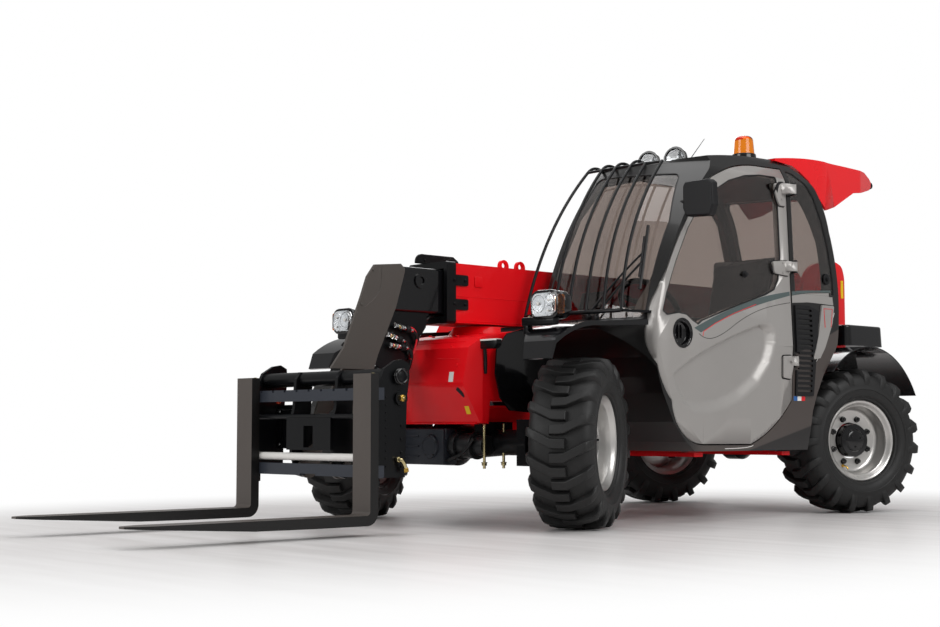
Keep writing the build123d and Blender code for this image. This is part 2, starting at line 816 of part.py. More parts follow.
# plan outlines: name -> corners, and the x at which the inner liner hangs
FENDERS = {
    "left": (((132, -772), (900, -772), (900, -1440), (730, -1440), (420, -1060), (352, -1010),
              (132, -1010)), 372),
    "right": (((-900, -772), (-380, -772), (-380, -1060), (-440, -1060), (-730, -1440),
               (-900, -1440)), -388),
}
for flank_name, (corners, liner_x) in FENDERS.items():
    with BuildPart() as fender:
        with BuildSketch(side(-950)) as fender_side:
            with BuildLine():
                Line((-770, 985), (-1100, 965))
                ThreePointArc((-1100, 965), (-1290, 932), (-1412, 862))
                Polyline((-1412, 862), (-1438, 782), (-1424, 778), (-1398, 848))
                ThreePointArc((-1398, 848), (-1280, 912), (-1100, 942))
                Polyline((-1100, 942), (-770, 960), (-770, 985))
            make_face()
        extrude(amount=1900)
        with BuildSketch(level(700)) as trim:
            with BuildLine():
                Polyline(*corners, close=True)
            make_face()
        extrude(amount=400, mode=Mode.INTERSECT)
        # liner between the wheel and the chassis
        with BuildSketch(side(liner_x)) as liner:
            with BuildLine():
                Polyline(
                    (-1030, 968), (-1200, 925), (-1272, 848), (-1280, 722), (-1249, 615),
                    (-1186, 553), (-1060, 545), (-960, 560), (-900, 640), (-885, 968),
                    close=True,
                )
            make_face()
            fillet(liner.vertices().sort_by(Axis.Y)[:6], radius=20)
        extrude(amount=8)
    write(fender.part, f"front_fender_{flank_name}")

ARCH_OUTER = 526.0
ARCH_SHEET = 6.0
with BuildPart() as rear_fenders:
    for x0 in (550, -870):
        with BuildSketch(side(x0)) as arc_side:
            with Locations((WHEELBASE / 2, TYRE_RADIUS)):
                Circle(ARCH_OUTER)
                Circle(ARCH_OUTER - ARCH_SHEET, mode=Mode.SUBTRACT)
            with Locations((WHEELBASE / 2 - 600, 0)):
                Rectangle(1200, 2 * 775, mode=Mode.SUBTRACT)
            with Locations((WHEELBASE / 2 + 600, 0)):
                Rectangle(1200, 2 * 655, mode=Mode.SUBTRACT)
        extrude(amount=320)
        with BuildSketch(side(x0 if x0 > 0 else x0 + 314)):
            with Locations((WHEELBASE / 2, TYRE_RADIUS)):
                Circle(ARCH_OUTER)
                Circle(440, mode=Mode.SUBTRACT)
            with Locations((WHEELBASE / 2, 0)):
                Rectangle(1200, 2 * 780, mode=Mode.SUBTRACT)
        extrude(amount=6)
write(rear_fenders.part, "rear_fenders")

BOX_Y = 1310.0
with BuildPart() as rear_boxes:
    for x in (620, -760):
        with BuildSketch(level(937)) as box_plan:
            with Locations((x, BOX_Y)):
                RectangleRounded(240, 380, 45)
        extrude(amount=118, taper=3)
    fillet(rear_boxes.faces().group_by(Axis.Z)[-1].edges(), radius=12)
    # brackets from the tower plates
    for x, reach in ((TOWER_LEFT, 270), (TOWER_RIGHT, -270)):
        with BuildSketch(side(x)):
            with Locations((BOX_Y + 40, 955)):
                Rectangle(120, 16)
        extrude(amount=reach)
write(rear_boxes.part, "rear_boxes")

with BuildPart() as headlights:
    for flank in (1, -1):
        with BuildSketch(facing(-1330)):
            with Locations((flank * 750, 1035)):
                RectangleRounded(180, 135, 48)
        extrude(amount=-60)
        with BuildSketch(facing(-1270)):
            with Locations((flank * 750, 1035)):
                RectangleRounded(180, 135, 48)
        extrude(amount=-52, taper=22)
        # arm that runs inwards over the fender, with the post that carries it
        with BuildSketch(side(flank * 700 - 100)):
            with Locations((-1300, 962)):
                RectangleRounded(40, 40, 8)
        extrude(amount=200)
        with BuildSketch(level(905)):
            with Locations((flank * 620, -1300)):
                Rectangle(30, 34)
        extrude(amount=50)
    for flank_fender in (1, -1):
        with BuildSketch(side(flank_fender * 700 - 120)):
            with BuildLine():
                Line((-1440, 700), (-1412, 862))
                ThreePointArc((-1412, 862), (-1290, 932), (-1100, 965))
                Polyline((-1100, 965), (-1000, 700), (-1440, 700))
            make_face()
        extrude(amount=240, mode=Mode.SUBTRACT)
write(headlights.part, "headlights")


# ---------------------------------------------------------------- boom
def along(start, end, x=BOOM_X):
    """Plane across the line from start to end, its normal along the line."""
    return Plane(
        origin=(x, MID_Y + start[0], start[1]), x_dir=(1, 0, 0),
        z_dir=(0, end[0] - start[0], end[1] - start[1]),
    )


with BuildPart() as boom_outer:
    with BuildSketch(side(BOOM_X - BOOM_WIDTH / 2)) as tube_side:
        with BuildLine():
            Polyline(
                (BOOM_MOUTH, BOOM_BOTTOM), (1660, BOOM_BOTTOM), (1735, 1290), (1600, 1440),
                (1330, 1440), (1000, BOOM_TOP), (BOOM_MOUTH, BOOM_TOP), close=True,
            )
        make_face()
        fillet(tube_side.vertices().group_by(Axis.Y)[-1], radius=80)
    extrude(amount=BOOM_WIDTH)
    with BuildSketch(facing(BOOM_MOUTH)):
        with Locations((BOOM_X, (BOOM_BOTTOM + BOOM_TOP) / 2)):
            Rectangle(BOOM_WIDTH - 2 * BOOM_WALL, BOOM_TOP - BOOM_BOTTOM - 2 * BOOM_WALL)
    extrude(amount=-2640, mode=Mode.SUBTRACT)
    # boss tube for the boom pivot
    with BuildSketch(side(TOWER_RIGHT + PLATE + 4)):
        with Locations(BOOM_PIVOT):
            Circle(70)
    extrude(amount=TOWER_LEFT - TOWER_RIGHT - 2 * PLATE - 8)
    with BuildSketch(side(TOWER_RIGHT)):
        with Locations(BOOM_PIVOT):
            Circle(36)
    extrude(amount=TOWER_LEFT - TOWER_RIGHT, mode=Mode.SUBTRACT)
    # lift cylinder ears
    for x in (BOOM_X - 65, BOOM_X + 45):
        with BuildSketch(side(x)):
            with BuildLine():
                Polyline((140, BOOM_BOTTOM + 2), (360, BOOM_BOTTOM + 2), (290, 880), (210, 880),
                         close=True)
            make_face()
            with Locations(LIFT_EYE):
                Circle(45)
        extrude(amount=20)
    # lifting eyes
    for y in (-800, -680):
        with BuildSketch(side(BOOM_X - 8)):
            with Locations((y, 1310)):
                Circle(34)
            with Locations((y, 1292)):
                Rectangle(68, 30)
            with Locations((y, 1314)):
                Circle(16, mode=Mode.SUBTRACT)
        extrude(amount=16)
write(boom_outer.part, "boom_outer")

with BuildPart() as boom_collar:
    # wear-pad ring bolted round the mouth, clear of the inner section
    with BuildSketch(facing(-1320)):
        with Locations((BOOM_X, (BOOM_BOTTOM + BOOM_TOP) / 2)):
            RectangleRounded(BOOM_WIDTH + 20, BOOM_TOP - BOOM_BOTTOM + 12, 14)
            Rectangle(INNER_WIDTH + 16, INNER_TOP - INNER_BOTTOM + 16, mode=Mode.SUBTRACT)
    extrude(amount=-60)
    for x in (BOOM_X - BOOM_WIDTH / 2 - 10, BOOM_X + BOOM_WIDTH / 2):
        with BuildSketch(side(x)):
            with Locations((-1232, 1200), (-1232, 1080)):
                RectangleRounded(110, 54, 12)
        extrude(amount=10)
    # upright guide plate with a rounded nose, standing on the boom's top
    with BuildSketch(side(BOOM_X - 56)) as guide:
        with BuildLine():
            Polyline((-1258, BOOM_TOP), (-1075, BOOM_TOP), (-1075, 1318), (-1110, 1340),
                     (-1310, 1340))
            ThreePointArc((-1310, 1340), (-1352, 1322), (-1358, 1292))
            Polyline((-1358, 1292), (-1258, 1292), (-1258, BOOM_TOP))
        make_face()
    extrude(amount=12)
write(boom_collar.part, "boom_collar")

# the inner section ends on a slant, seen from above, behind the head's near plate
SLANT_LEFT = -1725.0
SLANT_RIGHT = -1520.0

with BuildPart() as boom_inner:
    with BuildSketch(facing(-1760)):
        with Locations((BOOM_X, (INNER_BOTTOM + INNER_TOP) / 2)):
            RectangleRounded(INNER_WIDTH, INNER_TOP - INNER_BOTTOM, 12)
            Rectangle(INNER_WIDTH - 20, INNER_TOP - INNER_BOTTOM - 20, mode=Mode.SUBTRACT)
    extrude(amount=-3060)
    with BuildSketch(level(900)):
        with BuildLine():
            Polyline(
                (BOOM_X + INNER_WIDTH / 2 + 5, SLANT_LEFT - 4.4),
                (BOOM_X - INNER_WIDTH / 2 - 5, SLANT_RIGHT + 4.8),
                (BOOM_X - INNER_WIDTH / 2 - 5, -1800), (BOOM_X + INNER_WIDTH / 2 + 5, -1800),
                close=True,
            )
        make_face()
    extrude(amount=500, mode=Mode.SUBTRACT)
    # hose-guide boss on the near flank
    with BuildSketch(side(BOOM_X + INNER_WIDTH / 2)):
        with Locations((-1464, 1185)):
            Circle(37)
            Circle(20, mode=Mode.SUBTRACT)
    extrude(amount=8)
write(boom_inner.part, "boom_inner")

# head plates seen from the side: the near one stands further forward than the far one
NEAR_PLATE = (
    (-2017, 745), (-1989, 781), (-1940, 844), (-1840, 1090), (-1806, 1183), (-1760, 1243),
    (-1600, 1258), (-1574, 1235), (-1577, 1216), (-1630, 1047), (-1740, 815), (-1768, 735),
    (-1780, 640), (-1850, 520), (-1905, 290), (-2005, 320), (-1940, 500), (-1905, 600),
    (-1825, 660), (-1825, 745),
)
FAR_PLATE = (
    (-1772, 745), (-1751, 781), (-1702, 844), (-1602, 1090), (-1555, 1200), (-1535, 1240),
    (-1420, 1248), (-1400, 1235), (-1400, 1060), (-1470, 1030), (-1560, 830), (-1640, 715),
    (-1740, 610), (-1850, 480), (-1905, 290), (-2005, 320), (-1940, 500), (-1905, 600),
    (-1825, 660),
)

with BuildPart() as boom_head:
    for x, direction, outline in ((BOOM_X + HEAD_HALF_WIDTH, -1, NEAR_PLATE),
                                  (BOOM_X - HEAD_HALF_WIDTH, 1, FAR_PLATE)):
        with BuildSketch(side(x)):
            with BuildLine():
                Polyline(*outline, close=True)
            make_face()
            with Locations(TILT_PIVOT):
                Circle(55)
        extrude(amount=direction * HEAD_PLATE)
    # slanted web between the plates, closing the end of the inner section
    with BuildSketch(level(INNER_BOTTOM)) as web:
        with BuildLine():
            Polyline(
                (BOOM_X + INNER_WIDTH / 2, SLANT_LEFT), (BOOM_X - INNER_WIDTH / 2, SLANT_RIGHT),
                (BOOM_X - INNER_WIDTH / 2, SLANT_RIGHT - 20),
                (BOOM_X + INNER_WIDTH / 2, SLANT_LEFT - 20), close=True,
            )
        make_face()
    extrude(amount=205)
    # stub pins for the carriage pivot, left open between for the cylinder's rod
    for x in (BOOM_X + HEAD_HALF_WIDTH, BOOM_X - HEAD_HALF_WIDTH - 60):
        with BuildSketch(side(x)):
            with Locations(TILT_PIVOT):
                Circle(25)
        extrude(amount=60)
write(boom_head.part, "boom_head")

with BuildPart() as head_bracket:
    # mounting plate under the inner section, the tilt cylinder's ears and the web behind it
    with BuildSketch(level(INNER_BOTTOM - 13)):
        with Locations((BOOM_X, -1500)):
            Rectangle(200, 200)
    extrude(amount=13)
    for x in (BOOM_X - 65, BOOM_X + 45):
        with BuildSketch(side(x)):
            with BuildLine():
                Polyline((-1420, 1020), (-1430, 900), (-1500, 770), (-1580, 780), (-1600, 1020),
                         close=True)
            make_face()
            with Locations(TILT_BASE):
                Circle(50)
        extrude(amount=20)
    with BuildSketch(side(BOOM_X - 65)):
        with Locations(TILT_BASE):
            Circle(18)
        with Locations((-1440, 960)):
            Rectangle(12, 110)
    extrude(amount=130)
    # hose plate behind the near head plate
    with BuildSketch(side(BOOM_X + 92)) as hose_plate:
        with BuildLine():
            Polyline((-1410, 1024), (-1420, 960), (-1540, 800), (-1700, 750), (-1770, 790),
                     (-1700, 900), (-1640, 1024), close=True)
        make_face()
        fillet(hose_plate.vertices().sort_by(Axis.Y)[:3], radius=16)
    extrude(amount=10)
write(head_bracket.part, "head_bracket")


def cylinder_parts(base, eye, barrel_radius, barrel_end, rod_radius, bore_start, rod_start,
                   eye_radius, width):
    """Barrel and rod of a hydraulic cylinder between two pins, both at rest. The bore starts
    further in than the rod wherever the rod still draws back."""
    length = hypot(eye[0] - base[0], eye[1] - base[1])
    line = along(base, eye)
    with BuildPart() as barrel:
        with BuildSketch(side(BOOM_X - width / 2)):
            with Locations(base):
                Circle(eye_radius + 4)
        extrude(amount=width)
        with BuildSketch(line.offset(eye_radius - 6)):
            Circle(barrel_radius)
        extrude(amount=barrel_end - eye_radius + 6)
        with BuildSketch(line.offset(barrel_end - 34)):
            Circle(barrel_radius + 6)
        extrude(amount=34)
        with BuildSketch(line.offset(bore_start)):
            Circle(rod_radius + 1.5)
        extrude(amount=barrel_end - bore_start, mode=Mode.SUBTRACT)
        with BuildSketch(side(BOOM_X - width / 2)):
            with Locations(base):
                Circle(eye_radius * 0.62)
        extrude(amount=width, mode=Mode.SUBTRACT)
    with BuildPart() as rod:
        with BuildSketch(line.offset(rod_start)):
            Circle(rod_radius)
        extrude(amount=length - rod_start - eye_radius + 6)
        with BuildSketch(side(BOOM_X - width / 2 + 5)):
            with Locations(eye):
                Circle(eye_radius)
        extrude(amount=width - 10)
        with BuildSketch(side(BOOM_X - width / 2)):
            with Locations(eye):
                Circle(eye_radius * 0.6)
        extrude(amount=width, mode=Mode.SUBTRACT)
    return barrel.part, rod.part


lift_barrel, lift_rod = cylinder_parts(LIFT_BASE, LIFT_EYE, 55, 960, 30, 52, 60, 41, 76)
write(lift_barrel, "lift_cylinder_barrel")
write(lift_rod, "lift_cylinder_rod")
tilt_barrel, tilt_rod = cylinder_parts(TILT_BASE, TILT_EYE, 42, 470, 22, 85, 120, 30, 60)
write(tilt_barrel, "tilt_cylinder_barrel")
write(tilt_rod, "tilt_cylinder_rod")


# ---------------------------------------------------------------- carriage and forks
CARRIAGE_RIGHT = -580.0
CARRIAGE_LEFT = 450.0
COUPLER_RIGHT = -542.0
COUPLER_LEFT = 412.0
PIVOT_PLATES = (BOOM_X + 150, BOOM_X - 170)
CROSS_TUBE = (-1960.0, 700.0)
BAR_FACE = -2054.0
BAR_THICKNESS = 32.0

with BuildPart() as coupler:
    # outer side plates, their claws hooked over the cross tube
    for x in (COUPLER_RIGHT, COUPLER_LEFT - 20):
        with BuildSketch(side(x)):
            with BuildLine():
                Polyline(
                    (-2022, 250), (-1870, 250), (-1860, 600), (-1845, 700), (-1850, 760),
                    (-1885, 778), (-1930, 770), (-1990, 735), (-2022, 670), close=True,
                )
            make_face()
            with Locations((-1900, 603)):
                Circle(16, mode=Mode.SUBTRACT)
        extrude(amount=20)
    # plates on the carriage pivot, either side of the boom head
    for x in PIVOT_PLATES:
        with BuildSketch(side(x)):
            with BuildLine():
                Polyline((-2034, 515), (-2020, 560), (-2010, 700), (-1985, 734), (-1935, 730),
                         (-1915, 690), (-1925, 540), (-1905, 300), (-1960, 238), (-2005, 250),
                         (-2020, 312), (-2034, 345), close=True)
            make_face()
            with Locations(TILT_PIVOT):
                Circle(26, mode=Mode.SUBTRACT)
        extrude(amount=20)
    with BuildSketch(side(COUPLER_RIGHT)):
        with Locations(CROSS_TUBE):
            Circle(35)
        with Locations((-2038, 523)):
            Circle(12)
    extrude(amount=COUPLER_LEFT - COUPLER_RIGHT)
    # front panel with the window over the tilt cylinder's eye
    with BuildSketch(facing(-2052)):
        with Locations((BOOM_X, 443)):
            Rectangle(PIVOT_PLATES[0] + 20 - PIVOT_PLATES[1], 150)
        with Locations((BOOM_X, 430)):
            Rectangle(72, 100, mode=Mode.SUBTRACT)
    extrude(amount=-18)
    # upright panels behind the cross tube
    for x0, x1 in ((COUPLER_RIGHT + 10, COUPLER_RIGHT + 230), (COUPLER_LEFT - 230, COUPLER_LEFT - 10)):
        with BuildSketch(facing(-1906)):
            with BuildLine():
                Polyline((x0, 370), (x1, 370), (x1, 582), (x0, 582), close=True)
            make_face()
        extrude(amount=-12)
    for x in (BOOM_X - 50, BOOM_X + 34):
        with BuildSketch(side(x)):
            with BuildLine():
                Polyline((-2036, 515), (-2036, 375), (-1990, 402), (-1962, 418), (-1958, 446),
                         close=True)
            make_face()
            with Locations(TILT_EYE):
                Circle(32)
            with Locations(TILT_EYE):
                Circle(15, mode=Mode.SUBTRACT)
        extrude(amount=16)
    # boss rings of the locking pin on the outer plates
    for x in (COUPLER_LEFT, COUPLER_RIGHT - 12):
        with BuildSketch(side(x)):
            with Locations((-1900, 603)):
                Circle(34)
                Circle(16, mode=Mode.SUBTRACT)
        extrude(amount=12)
write(coupler.part, "coupler")

NOTCHES = 11
with BuildPart() as carriage:
    span = CARRIAGE_LEFT - CARRIAGE_RIGHT
    with BuildSketch(side(CARRIAGE_RIGHT)):
        with Locations((BAR_FACE + BAR_THICKNESS / 2, 621), (BAR_FACE + BAR_THICKNESS / 2, 278)):
            Rectangle(BAR_THICKNESS, 54)
    extrude(amount=span)
    # positions for the forks' latches along the top, a dirt notch under the lower bar
    with BuildSketch(facing(BAR_FACE)):
        for step in range(NOTCHES):
            with Locations((CARRIAGE_RIGHT + 40 + step * (span - 80) / (NOTCHES - 1), 648)):
                Rectangle(16, 20)
        with Locations((BOOM_X, 251)):
            Rectangle(120, 16)
    extrude(amount=-BAR_THICKNESS, mode=Mode.SUBTRACT)
write(carriage.part, "carriage")

with BuildPart() as lock_pin:
    for x in (COUPLER_RIGHT - 18, COUPLER_LEFT - 22):
        with BuildSketch(side(x)):
            with Locations((-1900, 603)):
                Circle(15.5)
        extrude(amount=40)
write(lock_pin.part, "lock_pin")

for name, x in FORK_CENTRES.items():
    with BuildPart() as fork:
        with BuildSketch(side(x - FORK_WIDTH / 2)) as fork_side:
            with BuildLine():
                Polyline(
                    (-2055, FORK_TOP), (FORK_FACE, FORK_TOP), (FORK_FACE, 90), (FORK_TIP, 90),
                    (FORK_TIP, 81), (-2700, 48), (-2400, 45), (-2055, 45), close=True,
                )
            make_face()
            fillet(fork_side.vertices().sort_by_distance((-2055, 45))[0], radius=60)
            fillet(fork_side.vertices().sort_by_distance((FORK_FACE, 90))[0], radius=18)
        extrude(amount=FORK_WIDTH)
        with BuildSketch(level(0)):
            with BuildLine():
                Polyline(
                    (x - FORK_WIDTH / 2, -2000), (x + FORK_WIDTH / 2, -2000),
                    (x + FORK_WIDTH / 2, FORK_TIP + 160),
                )
                ThreePointArc((x + FORK_WIDTH / 2, FORK_TIP + 160), (x + 52, FORK_TIP + 60),
                              (x + 20, FORK_TIP))
                Line((x + 20, FORK_TIP), (x - 20, FORK_TIP))
                ThreePointArc((x - 20, FORK_TIP), (x - 52, FORK_TIP + 60),
                              (x - FORK_WIDTH / 2, FORK_TIP + 160))
                Line((x - FORK_WIDTH / 2, FORK_TIP + 160), (x - FORK_WIDTH / 2, -2000))
            make_face()
        extrude(amount=800, mode=Mode.INTERSECT)
    write(fork.part, f"fork_{name}")
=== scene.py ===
"""Looks of a compact telescopic handler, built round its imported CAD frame.

Each sub-assembly is a class that models its fittings; each finish is a frozen dataclass named for
the real coating or material. Fittings are modelled in millimetres from the mid-wheelbase line, and
each is taken to metres and to its place when it is fitted.
"""

import json
import logging
import math
from collections.abc import Sequence
from dataclasses import dataclass
from enum import Enum

import bmesh
import bpy
from bpy.types import Node, NodeSocket, NodeTree
from mathutils import Matrix, Vector
from mathutils.bvhtree import BVHTree

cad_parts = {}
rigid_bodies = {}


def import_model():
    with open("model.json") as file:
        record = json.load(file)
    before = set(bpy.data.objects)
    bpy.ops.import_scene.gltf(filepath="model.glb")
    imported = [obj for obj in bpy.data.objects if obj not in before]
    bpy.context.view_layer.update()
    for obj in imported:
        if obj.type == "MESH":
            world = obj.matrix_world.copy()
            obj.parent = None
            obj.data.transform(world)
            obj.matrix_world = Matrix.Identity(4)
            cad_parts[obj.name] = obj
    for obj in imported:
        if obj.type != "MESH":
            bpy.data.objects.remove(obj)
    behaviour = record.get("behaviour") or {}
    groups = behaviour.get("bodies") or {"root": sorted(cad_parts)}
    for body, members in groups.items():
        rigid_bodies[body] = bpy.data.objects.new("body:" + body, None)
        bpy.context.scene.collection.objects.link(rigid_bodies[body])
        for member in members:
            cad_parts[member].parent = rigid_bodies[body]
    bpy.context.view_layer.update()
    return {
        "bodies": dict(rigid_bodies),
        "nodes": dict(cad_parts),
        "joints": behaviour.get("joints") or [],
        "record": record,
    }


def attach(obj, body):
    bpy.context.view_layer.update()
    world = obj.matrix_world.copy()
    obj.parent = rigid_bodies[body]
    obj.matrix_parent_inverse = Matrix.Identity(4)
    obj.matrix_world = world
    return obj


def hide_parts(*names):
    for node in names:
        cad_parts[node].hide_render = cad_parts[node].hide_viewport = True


log = logging.getLogger("handler")

MM = 0.001
ENDS = ("front", "rear")
FLANKS = {"left": 1, "right": -1}
BOOM_X = -70.0
LEFT, RIGHT, FORWARD, BACK, UP = (1, 0, 0), (-1, 0, 0), (0, -1, 0), (0, 1, 0), (0, 0, 1)
Place = tuple[float, float, float]
Spot = tuple[float, float]
Colour = tuple[float, float, float, float]


# ---------------------------------------------------------------- colour and nodes
def linear(hex_colour: str) -> Colour:
    """Turn an sRGB hex colour into linear RGBA.

    Args:
        hex_colour: six hex digits, such as "e2001a".

    Returns:
        Linear red, green, blue and an alpha of 1.
    """
    channels = [int(hex_colour[i:i + 2], 16) / 255 for i in (0, 2, 4)]
    curve = [c / 12.92 if c <= 0.04045 else ((c + 0.055) / 1.055) ** 2.4 for c in channels]
    return (*curve, 1.0)


def shade(hex_colour: str, factor: float) -> Colour:
    """Linear RGBA of an sRGB hex colour, made lighter or darker by a factor."""
    return tuple(min(1.0, c * factor) for c in linear(hex_colour)[:3]) + (1.0,)


def node(tree: NodeTree, kind: str, settings: dict | None = None,
         links: dict | None = None) -> Node:
    """Add one node with its settings and links.

    Args:
        tree: the node tree to add to.
        kind: the node's type without its prefix, such as "TexNoise".
        settings: attribute names, or input names or numbers, to plain values.
        links: input names or numbers to the output sockets that feed them.

    Returns:
        The new node.
    """
    made = tree.nodes.new("ShaderNode" + kind)
    for key, value in (settings or {}).items():
        if isinstance(key, str) and hasattr(made, key) and key not in made.inputs:
            setattr(made, key, value)
        else:
            made.inputs[key].default_value = value
    for key, socket in (links or {}).items():
        tree.links.new(socket, made.inputs[key])
    return made


def own_place(tree: NodeTree) -> NodeSocket:
    """The object's own coordinates."""
    return node(tree, "TexCoord").outputs["Object"]


def noise(tree: NodeTree, scale: float, detail: float,
          place: NodeSocket | None = None) -> NodeSocket:
    """Noise values, in the object's own coordinates unless others are given."""
    made = node(tree, "TexNoise", {"Scale": scale, "Detail": detail},
                {"Vector": place or own_place(tree)})
    return made.outputs["Fac"]


def blend(tree: NodeTree, share: NodeSocket, low: Colour | NodeSocket, high: Colour) -> NodeSocket:
    """Mix a colour, or a socket of colours, with another colour by a share."""
    plain = isinstance(low, tuple)
    made = node(tree, "Mix", {"data_type": "RGBA", 7: high} | ({6: low} if plain else {}),
                {0: share} | ({} if plain else {6: low}))
    return made.outputs[2]


def remap(tree: NodeTree, value: NodeSocket, **limits: float) -> NodeSocket:
    """Map a range of values; limits are named as the node's inputs, such as To_Min."""
    settings = {name.replace("_", " "): limit for name, limit in limits.items()}
    return node(tree, "MapRange", settings, {"Value": value}).outputs[0]


def maths(tree: NodeTree, operation: str, *values: NodeSocket | float) -> NodeSocket:
    """One step of arithmetic on sockets and numbers."""
    plain = {i: v for i, v in enumerate(values) if isinstance(v, float)}
    links = {i: v for i, v in enumerate(values) if not isinstance(v, float)}
    return node(tree, "Math", {"operation": operation} | plain, links).outputs[0]


def bump(tree: NodeTree, height: NodeSocket, strength: float, distance: float) -> NodeSocket:
    """Normals raised by a height."""
    return node(tree, "Bump", {"Strength": strength, "Distance": distance},
                {"Height": height}).outputs[0]


def close(tree: NodeTree, settings: dict, links: dict) -> None:
    """Add the principled shader with its settings and links, and join it to the output."""
    shader = node(tree, "BsdfPrincipled", settings, links)
    node(tree, "OutputMaterial", links={"Surface": shader.outputs[0]})


class Finish:
    """A finish that makes its Blender material once and hands it out after that."""

    _made: dict[str, bpy.types.Material] = {}

    def material(self) -> bpy.types.Material:
        """Return this finish's material, making it the first time."""
        name = getattr(self, "name")
        if name not in Finish._made:
            made = bpy.data.materials.new(name)
            made.use_nodes = True
            made.node_tree.nodes.clear()
            self.build(made.node_tree)
            Finish._made[name] = made
        return Finish._made[name]

    def build(self, tree: NodeTree) -> None:
        """Fill the material's node tree; each finish has its own."""
        raise NotImplementedError


# ---------------------------------------------------------------- finishes
@dataclass(frozen=True)
class Enamel(Finish):
    """Two-pack enamel sprayed on steel: an even colour under a clear skin, with the faint ripple
    that a spray gun leaves. A side shade colour, where given, is painted shade that darkens the
    faces that look sideways."""

    name: str
    colour: str
    roughness: float = 0.34
    metallic: float = 0.0
    specular: float = 0.3
    coat: float = 0.3
    coat_roughness: float = 0.1
    ripple_mm: float = 14.0
    ripple: float = 0.02
    mottle: float = 0.06
    # colour of the painted shade on the faces that look sideways; empty for none
    side_shade_colour: str = ""

    def build(self, tree: NodeTree) -> None:
        """Base colour with a slight mottle, and a ripple in the bump."""
        cloud = noise(tree, 2.2, 5.0)
        colour = blend(tree, cloud, shade(self.colour, 1 - self.mottle),
                       shade(self.colour, 1 + self.mottle))
        # painted shade on the sideways faces, when a side shade colour is given
        if self.side_shade_colour:
            colour = self.paint_side_shade(tree, colour)
        rough = remap(tree, cloud, To_Min=self.roughness * 0.85, To_Max=self.roughness * 1.15)
        spray = noise(tree, 1 / (self.ripple_mm * MM), 2.0)
        close(tree, {"Metallic": self.metallic, "Specular IOR Level": self.specular,
                     "Coat Weight": self.coat, "Coat Roughness": self.coat_roughness},
              {"Base Color": colour, "Roughness": rough,
               "Normal": bump(tree, spray, self.ripple, 0.002)})

    def paint_side_shade(self, tree: NodeTree, colour: NodeSocket) -> NodeSocket:
        """Paint shade on the faces that look sideways: painted shade, darker than the faces that
        look forward.
        """
        across = node(tree, "SeparateXYZ", links={0: node(tree, "NewGeometry").outputs["Normal"]})
        size = maths(tree, "ABSOLUTE", across.outputs["X"])
        sides = remap(tree, size, From_Min=0.45, From_Max=0.9)
        return blend(tree, sides, colour, linear(self.side_shade_colour))


@dataclass(frozen=True)
class CabSkin(Finish):
    """Anthracite cab enamel whose sill is masked off and sprayed warm grey along a slanted line,
    with a darker tuck underneath. Each line is given as height and slope in metres."""

    name: str
    upper: str
    sill: str
    tuck: str
    sill_line: Spot = (0.405, 0.37)
    tuck_line: Spot = (0.155, 0.235)
    sill_front: float = 0.36
    sill_fade: float = 0.12
    edge: float = 0.004

    def build(self, tree: NodeTree) -> None:
        """Three colours in bands, under one glossy skin."""
        parts = node(tree, "SeparateXYZ", links={0: own_place(tree)}).outputs
        behind = remap(tree, parts["Y"], From_Min=self.sill_front,
                       From_Max=self.sill_front + self.sill_fade)
        colour = linear(self.upper)
        for (height, slope), paint in ((self.sill_line, self.sill), (self.tuck_line, self.tuck)):
            rise = maths(tree, "MULTIPLY_ADD", parts["Y"], slope, height)
            gap = maths(tree, "SUBTRACT", rise, parts["Z"])
            under = remap(tree, gap, From_Min=-self.edge, From_Max=self.edge)
            mask = maths(tree, "MULTIPLY", under, behind)
            colour = blend(tree, mask, colour, linear(paint))
        close(tree, {"Roughness": 0.3, "Specular IOR Level": 0.3, "Coat Weight": 0.35,
                     "Coat Roughness": 0.08},
              {"Base Color": colour, "Normal": bump(tree, noise(tree, 70.0, 2.0), 0.02, 0.002)})


@dataclass(frozen=True)
class Moulded(Finish):
    """Injection-moulded ABS or polypropylene with the fine spark-eroded grain of its tool."""

    name: str
    colour: str
    roughness: float = 0.45
    grain_mm: float = 1.6
    grain: float = 0.15
    coat: float = 0.0
    specular: float = 0.3

    def build(self, tree: NodeTree) -> None:
        """Plain colour, grain in bump and a little in roughness."""
        grain = noise(tree, 1 / (self.grain_mm * MM), 2.0)
        cloud = noise(tree, 3.0, 4.0)
        rough = remap(tree, cloud, To_Min=self.roughness * 0.85, To_Max=self.roughness * 1.15)
        tone = blend(tree, cloud, shade(self.colour, 0.92), shade(self.colour, 1.08))
        close(tree, {"Coat Weight": self.coat, "Coat Roughness": 0.05,
                     "Specular IOR Level": self.specular},
              {"Base Color": tone, "Roughness": rough,
               "Normal": bump(tree, grain, self.grain, 0.0004)})


@dataclass(frozen=True)
class Glazing(Finish):
    """Tempered glass or clear acrylic, tinted in the melt: clear to look through, with a sharp
    reflection."""

    name: str
    tint: str
    roughness: float = 0.0

    def build(self, tree: NodeTree) -> None:
        """Full transmission through an even tint, a shade deeper in places as rolled glass is."""
        tone = blend(tree, noise(tree, 1.2, 1.0), shade(self.tint, 0.96), shade(self.tint, 1.04))
        close(tree, {"Roughness": self.roughness, "IOR": 1.45, "Transmission Weight": 1.0},
              {"Base Color": tone})


@dataclass(frozen=True)
class Rubber(Finish):
    """Carbon-black rubber: matt, greyer where mould dust and scuffs stay."""

    name: str
    colour: str
    roughness: float = 0.55

    def build(self, tree: NodeTree) -> None:
        """Dark colour that lightens in patches, and a fine pebbled bump."""
        cloud = noise(tree, 14.0, 6.0)
        rough = remap(tree, cloud, To_Min=self.roughness * 0.8,
                      To_Max=min(1.0, self.roughness * 1.25))
        close(tree, {"Specular IOR Level": 0.4},
              {"Base Color": blend(tree, cloud, shade(self.colour, 0.7), shade(self.colour, 1.5)),
               "Roughness": rough, "Normal": bump(tree, noise(tree, 420.0, 2.0), 0.25, 0.0006)})


